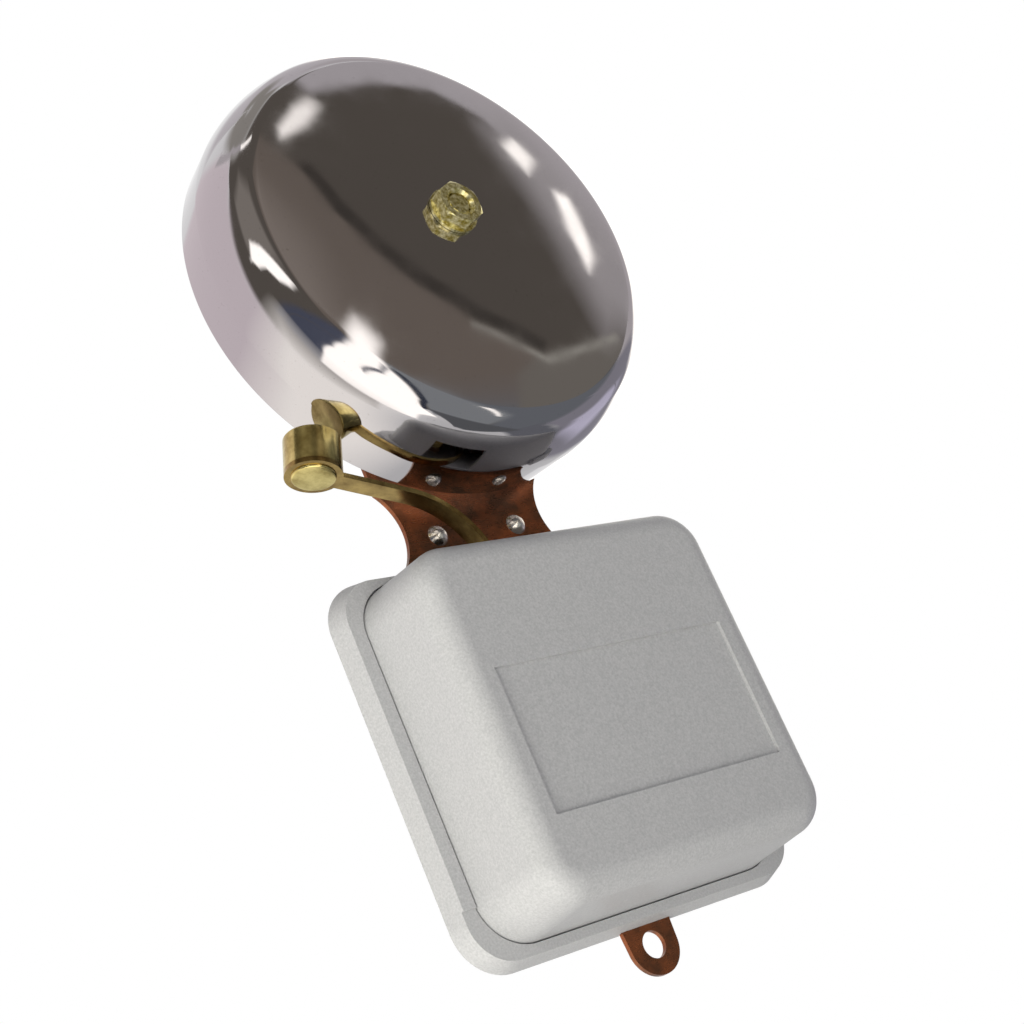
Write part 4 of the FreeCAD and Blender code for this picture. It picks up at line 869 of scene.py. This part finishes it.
def add_card(context, name, corners, soft, distance, lowest, material, lights=False):
    """A curved studio card whose corners are bearings and heights about the gong, which
    fades out over its soft edge and lies flat where it would go lower than lowest. The camera
    never sees it; a card that lights is seen by matt surfaces too, and the others only in
    reflections."""
    outline = [Vector(corner) for corner in corners]
    step = min(max(soft / 2, FINEST_GRID), COARSEST_GRID)
    margin = Vector((soft / 2 + step, soft / 2 + step))
    low = Vector((min(corner.x for corner in outline), min(corner.y for corner in outline)))
    high = Vector((max(corner.x for corner in outline), max(corner.y for corner in outline)))
    low -= margin
    high += margin
    columns = math.ceil((high.x - low.x) / step) + 1
    rows = math.ceil((high.y - low.y) / step) + 1
    vertices = []
    shown = []
    for row in range(rows + 1):
        for column in range(columns + 1):
            point = Vector((low.x + column * step, low.y + row * step))
            ray = heading(point.x, point.y)
            reach = distance
            if ray.z < 0:
                reach = min(distance, (GONG_MIDDLE.z - lowest) / -ray.z)
            vertices.append(GONG_MIDDLE + ray * reach)
            inside = depth_inside(point, outline) / soft + 0.5
            shown.append(min(max(inside, 0.0), 1.0))
    faces = []
    for row in range(rows):
        for column in range(columns):
            corner = row * (columns + 1) + column
            face = (corner, corner + 1, corner + columns + 2, corner + columns + 1)
            if any(shown[index] for index in face):
                faces.append(face)
    card = new_object(context, name, vertices, faces, material)
    card.data.attributes.new("shown", "FLOAT", "POINT").data.foreach_set("value", shown)
    card.visible_camera = False
    card.visible_shadow = False
    card.visible_diffuse = lights


def glowing(name, hex_colour, strength):
    """Evenly glowing card that fades out where it isn't shown."""
    material, tree = empty_material(name)
    shown = add(tree, "ShaderNodeAttribute", {"attribute_name": "shown"})
    clear = add(tree, "ShaderNodeBsdfTransparent")
    glow = add(tree, "ShaderNodeEmission", {"Color": linear(hex_colour), "Strength": strength})
    mixed = add(tree, "ShaderNodeMixShader", None, {
        0: shown.outputs["Fac"], 1: clear.outputs["BSDF"], 2: glow.outputs["Emission"]})
    add(tree, "ShaderNodeOutputMaterial", None, {"Surface": mixed.outputs["Shader"]})
    return material


def white_to_lens(tree):
    """Is 1 for the rays that show the background: camera, glossy and transmission rays."""
    rays = add(tree, "ShaderNodeLightPath")
    mirrored = add(tree, "ShaderNodeMath", {"operation": "ADD", "use_clamp": True},
                   {0: rays.outputs["Is Camera Ray"], 1: rays.outputs["Is Glossy Ray"]})
    seen = add(tree, "ShaderNodeMath", {"operation": "ADD", "use_clamp": True},
               {0: mirrored.outputs["Value"], 1: rays.outputs["Is Transmission Ray"]})
    return seen.outputs["Value"]


class BELL_OT_stage(bpy.types.Operator):
    """Camera, pale floor, white background and soft studio light"""

    bl_idname = "bell.stage"
    bl_label = "Stage"

    def execute(self, context):
        sizes = context.scene.bell_stage
        self.add_camera(context, sizes)
        self.add_floor(context, sizes)
        self.add_background(context, sizes)
        self.add_cards(context, sizes)
        self.add_side_lamp(context, sizes)
        context.scene.view_settings.view_transform = "Standard"
        return {"FINISHED"}

    def add_camera(self, context, sizes):
        """Camera at the photograph's angle, rolled about its line of sight."""
        data = bpy.data.cameras.new("camera")
        data.lens = sizes.camera_lens
        data.sensor_width = SENSOR_WIDTH
        data.sensor_fit = "HORIZONTAL"
        data.clip_start = CLIP_NEAR
        data.clip_end = CLIP_FAR
        camera = bpy.data.objects.new("camera", data)
        context.scene.collection.objects.link(camera)
        place = Vector(sizes.camera_place)
        ahead = (Vector(sizes.camera_aim) - place).normalized()
        level = ahead.cross(Vector((0, 0, 1))).normalized()
        upright = level.cross(ahead)
        up = upright * math.cos(sizes.camera_roll) + level * math.sin(sizes.camera_roll)
        right = ahead.cross(up)
        turn = Matrix((right, up, -ahead)).transposed()
        camera.matrix_world = Matrix.Translation(place) @ turn.to_4x4()
        context.scene.camera = camera

    def add_floor(self, context, sizes):
        """Pale floor, white to the lens where nothing shades it."""
        material, tree = empty_material("floor_paper")
        paper = add(tree, "ShaderNodeBsdfDiffuse", {"Color": linear("#E8E8E8")})
        white = add(tree, "ShaderNodeEmission", {"Color": linear("#FFFFFF"), "Strength": 1.0})
        share = add(tree, "ShaderNodeMath", {"operation": "MULTIPLY", 1: FLOOR_WHITE},
                    {0: white_to_lens(tree)})
        mixed = add(tree, "ShaderNodeMixShader", None,
                    {0: share.outputs["Value"], 1: paper.outputs["BSDF"],
                     2: white.outputs["Emission"]})
        add(tree, "ShaderNodeOutputMaterial", None, {"Surface": mixed.outputs["Shader"]})
        half = sizes.floor_size / 2
        corners = [(x, y, sizes.floor_drop)
                   for x, y in ((-half, -half), (half, -half), (half, half), (-half, half))]
        floor = new_object(context, "floor", corners, [(0, 1, 2, 3)], material)

    def add_background(self, context, sizes):
        """White to the lens, to metal and to glass, and a soft fill on matt surfaces."""
        world = bpy.data.worlds.new("studio")
        world.use_nodes = True
        tree = world.node_tree
        tree.nodes.clear()
        # The room's light comes more from the pale floor and walls than from the ceiling.
        place = add(tree, "ShaderNodeTexCoord")
        axes = add(tree, "ShaderNodeSeparateXYZ", None, {0: place.outputs["Generated"]})
        above = add(tree, "ShaderNodeMapRange", {
            "From Min": FILL_FALL[0], "From Max": FILL_FALL[1], "To Min": sizes.fill_strength,
            "To Max": sizes.fill_strength * FILL_FROM_CEILING}, {"Value": axes.outputs["Z"]})
        fill = add(tree, "ShaderNodeBackground", {"Color": linear("#F4F6FF")},
                   {"Strength": above.outputs["Result"]})
        white = add(tree, "ShaderNodeBackground", {"Color": linear("#FFFFFF"),
                                                   "Strength": 1.0})
        mixed = add(tree, "ShaderNodeMixShader", None,
                    {0: white_to_lens(tree), 1: fill.outputs["Background"],
                     2: white.outputs["Background"]})
        add(tree, "ShaderNodeOutputWorld", None, {"Surface": mixed.outputs["Shader"]})
        context.scene.world = world

    def add_cards(self, context, sizes):
        """Cards before the bell, which give its chrome depth, and the soft boxes. Each one
        stands a little nearer than the last, so that no two share a surface."""
        ground = sizes.floor_drop + CARD_ABOVE_FLOOR
        cards = [(layer, name, corners, soft, tone, 1.0)
                 for name, (tone, layer, soft, corners) in SHADE_CARDS.items()]
        cards += [(BOX_LAYER, name, corners, soft, "#FFFBF4", sizes.key_strength * share)
                  for name, (share, soft, corners) in SOFT_BOXES.items()]
        cards.sort(key=lambda card: card[0])
        for place, (_, name, corners, soft, tone, strength) in enumerate(cards):
            add_card(context, name, corners, soft, sizes.card_distance - place * CARD_STEP,
                     ground + place * CARD_RISE, glowing(name, tone, strength),
                     lights=name in LIT_BY)

    def add_side_lamp(self, context, sizes):
        """Broad soft lamp on the left, which models the housing's side."""
        data = bpy.data.lights.new("side_lamp", "AREA")
        data.shape = "DISK"
        data.size = SIDE_LAMP_WIDTH
        data.energy = sizes.side_power
        data.color = linear("#FFFDEE")[:3]
        lamp = bpy.data.objects.new("side_lamp", data)
        context.scene.collection.objects.link(lamp)
        ray = heading(SIDE_LAMP_BEARING, SIDE_LAMP_HEIGHT)
        lamp.location = GONG_MIDDLE + ray * SIDE_LAMP_REACH
        lamp.rotation_euler = ray.to_track_quat("Z", "Y").to_euler()
        lamp.visible_glossy = False
        lamp.visible_camera = False


class BELL_PT_looks(bpy.types.Panel):
    """Sizes, colours and pieces of the bell"""

    bl_idname = "BELL_PT_looks"
    bl_label = "Electric bell"
    bl_space_type = "VIEW_3D"
    bl_region_type = "UI"
    bl_category = "Bell"

    def draw(self, context):
        layout = self.layout
        for operator in OPERATORS:
            layout.operator(operator.bl_idname)
        for name in GROUPS:
            group = getattr(context.scene, name)
            box = layout.box()
            for setting in group.__annotations__:
                box.prop(group, setting)


OPERATORS = (BELL_OT_stage, BELL_OT_housing, BELL_OT_plate, BELL_OT_gong,
             BELL_OT_gong_fastening, BELL_OT_hammer, BELL_OT_electromagnet, BELL_OT_contacts)
GROUPS = {"bell_gong": GongSizes, "bell_hammer": HammerSizes, "bell_stage": StageSizes,
          "bell_colours": BellColours}


def register():
    for group in GROUPS.values():
        bpy.utils.register_class(group)
    for operator in OPERATORS:
        bpy.utils.register_class(operator)
    bpy.utils.register_class(BELL_PT_looks)
    for name, group in GROUPS.items():
        setattr(bpy.types.Scene, name, PointerProperty(type=group))


def unregister():
    for name in GROUPS:
        delattr(bpy.types.Scene, name)
    bpy.utils.unregister_class(BELL_PT_looks)
    for operator in reversed(OPERATORS):
        bpy.utils.unregister_class(operator)
    for group in reversed(GROUPS.values()):
        bpy.utils.unregister_class(group)


def main():
    register()
    bpy.ops.bell.stage()
    bpy.ops.bell.housing()
    bpy.ops.bell.plate()
    bpy.ops.bell.gong()
    bpy.ops.bell.gong_fastening()
    bpy.ops.bell.hammer()
    bpy.ops.bell.electromagnet()
    bpy.ops.bell.contacts()


if __name__ == "__main__":
    main()
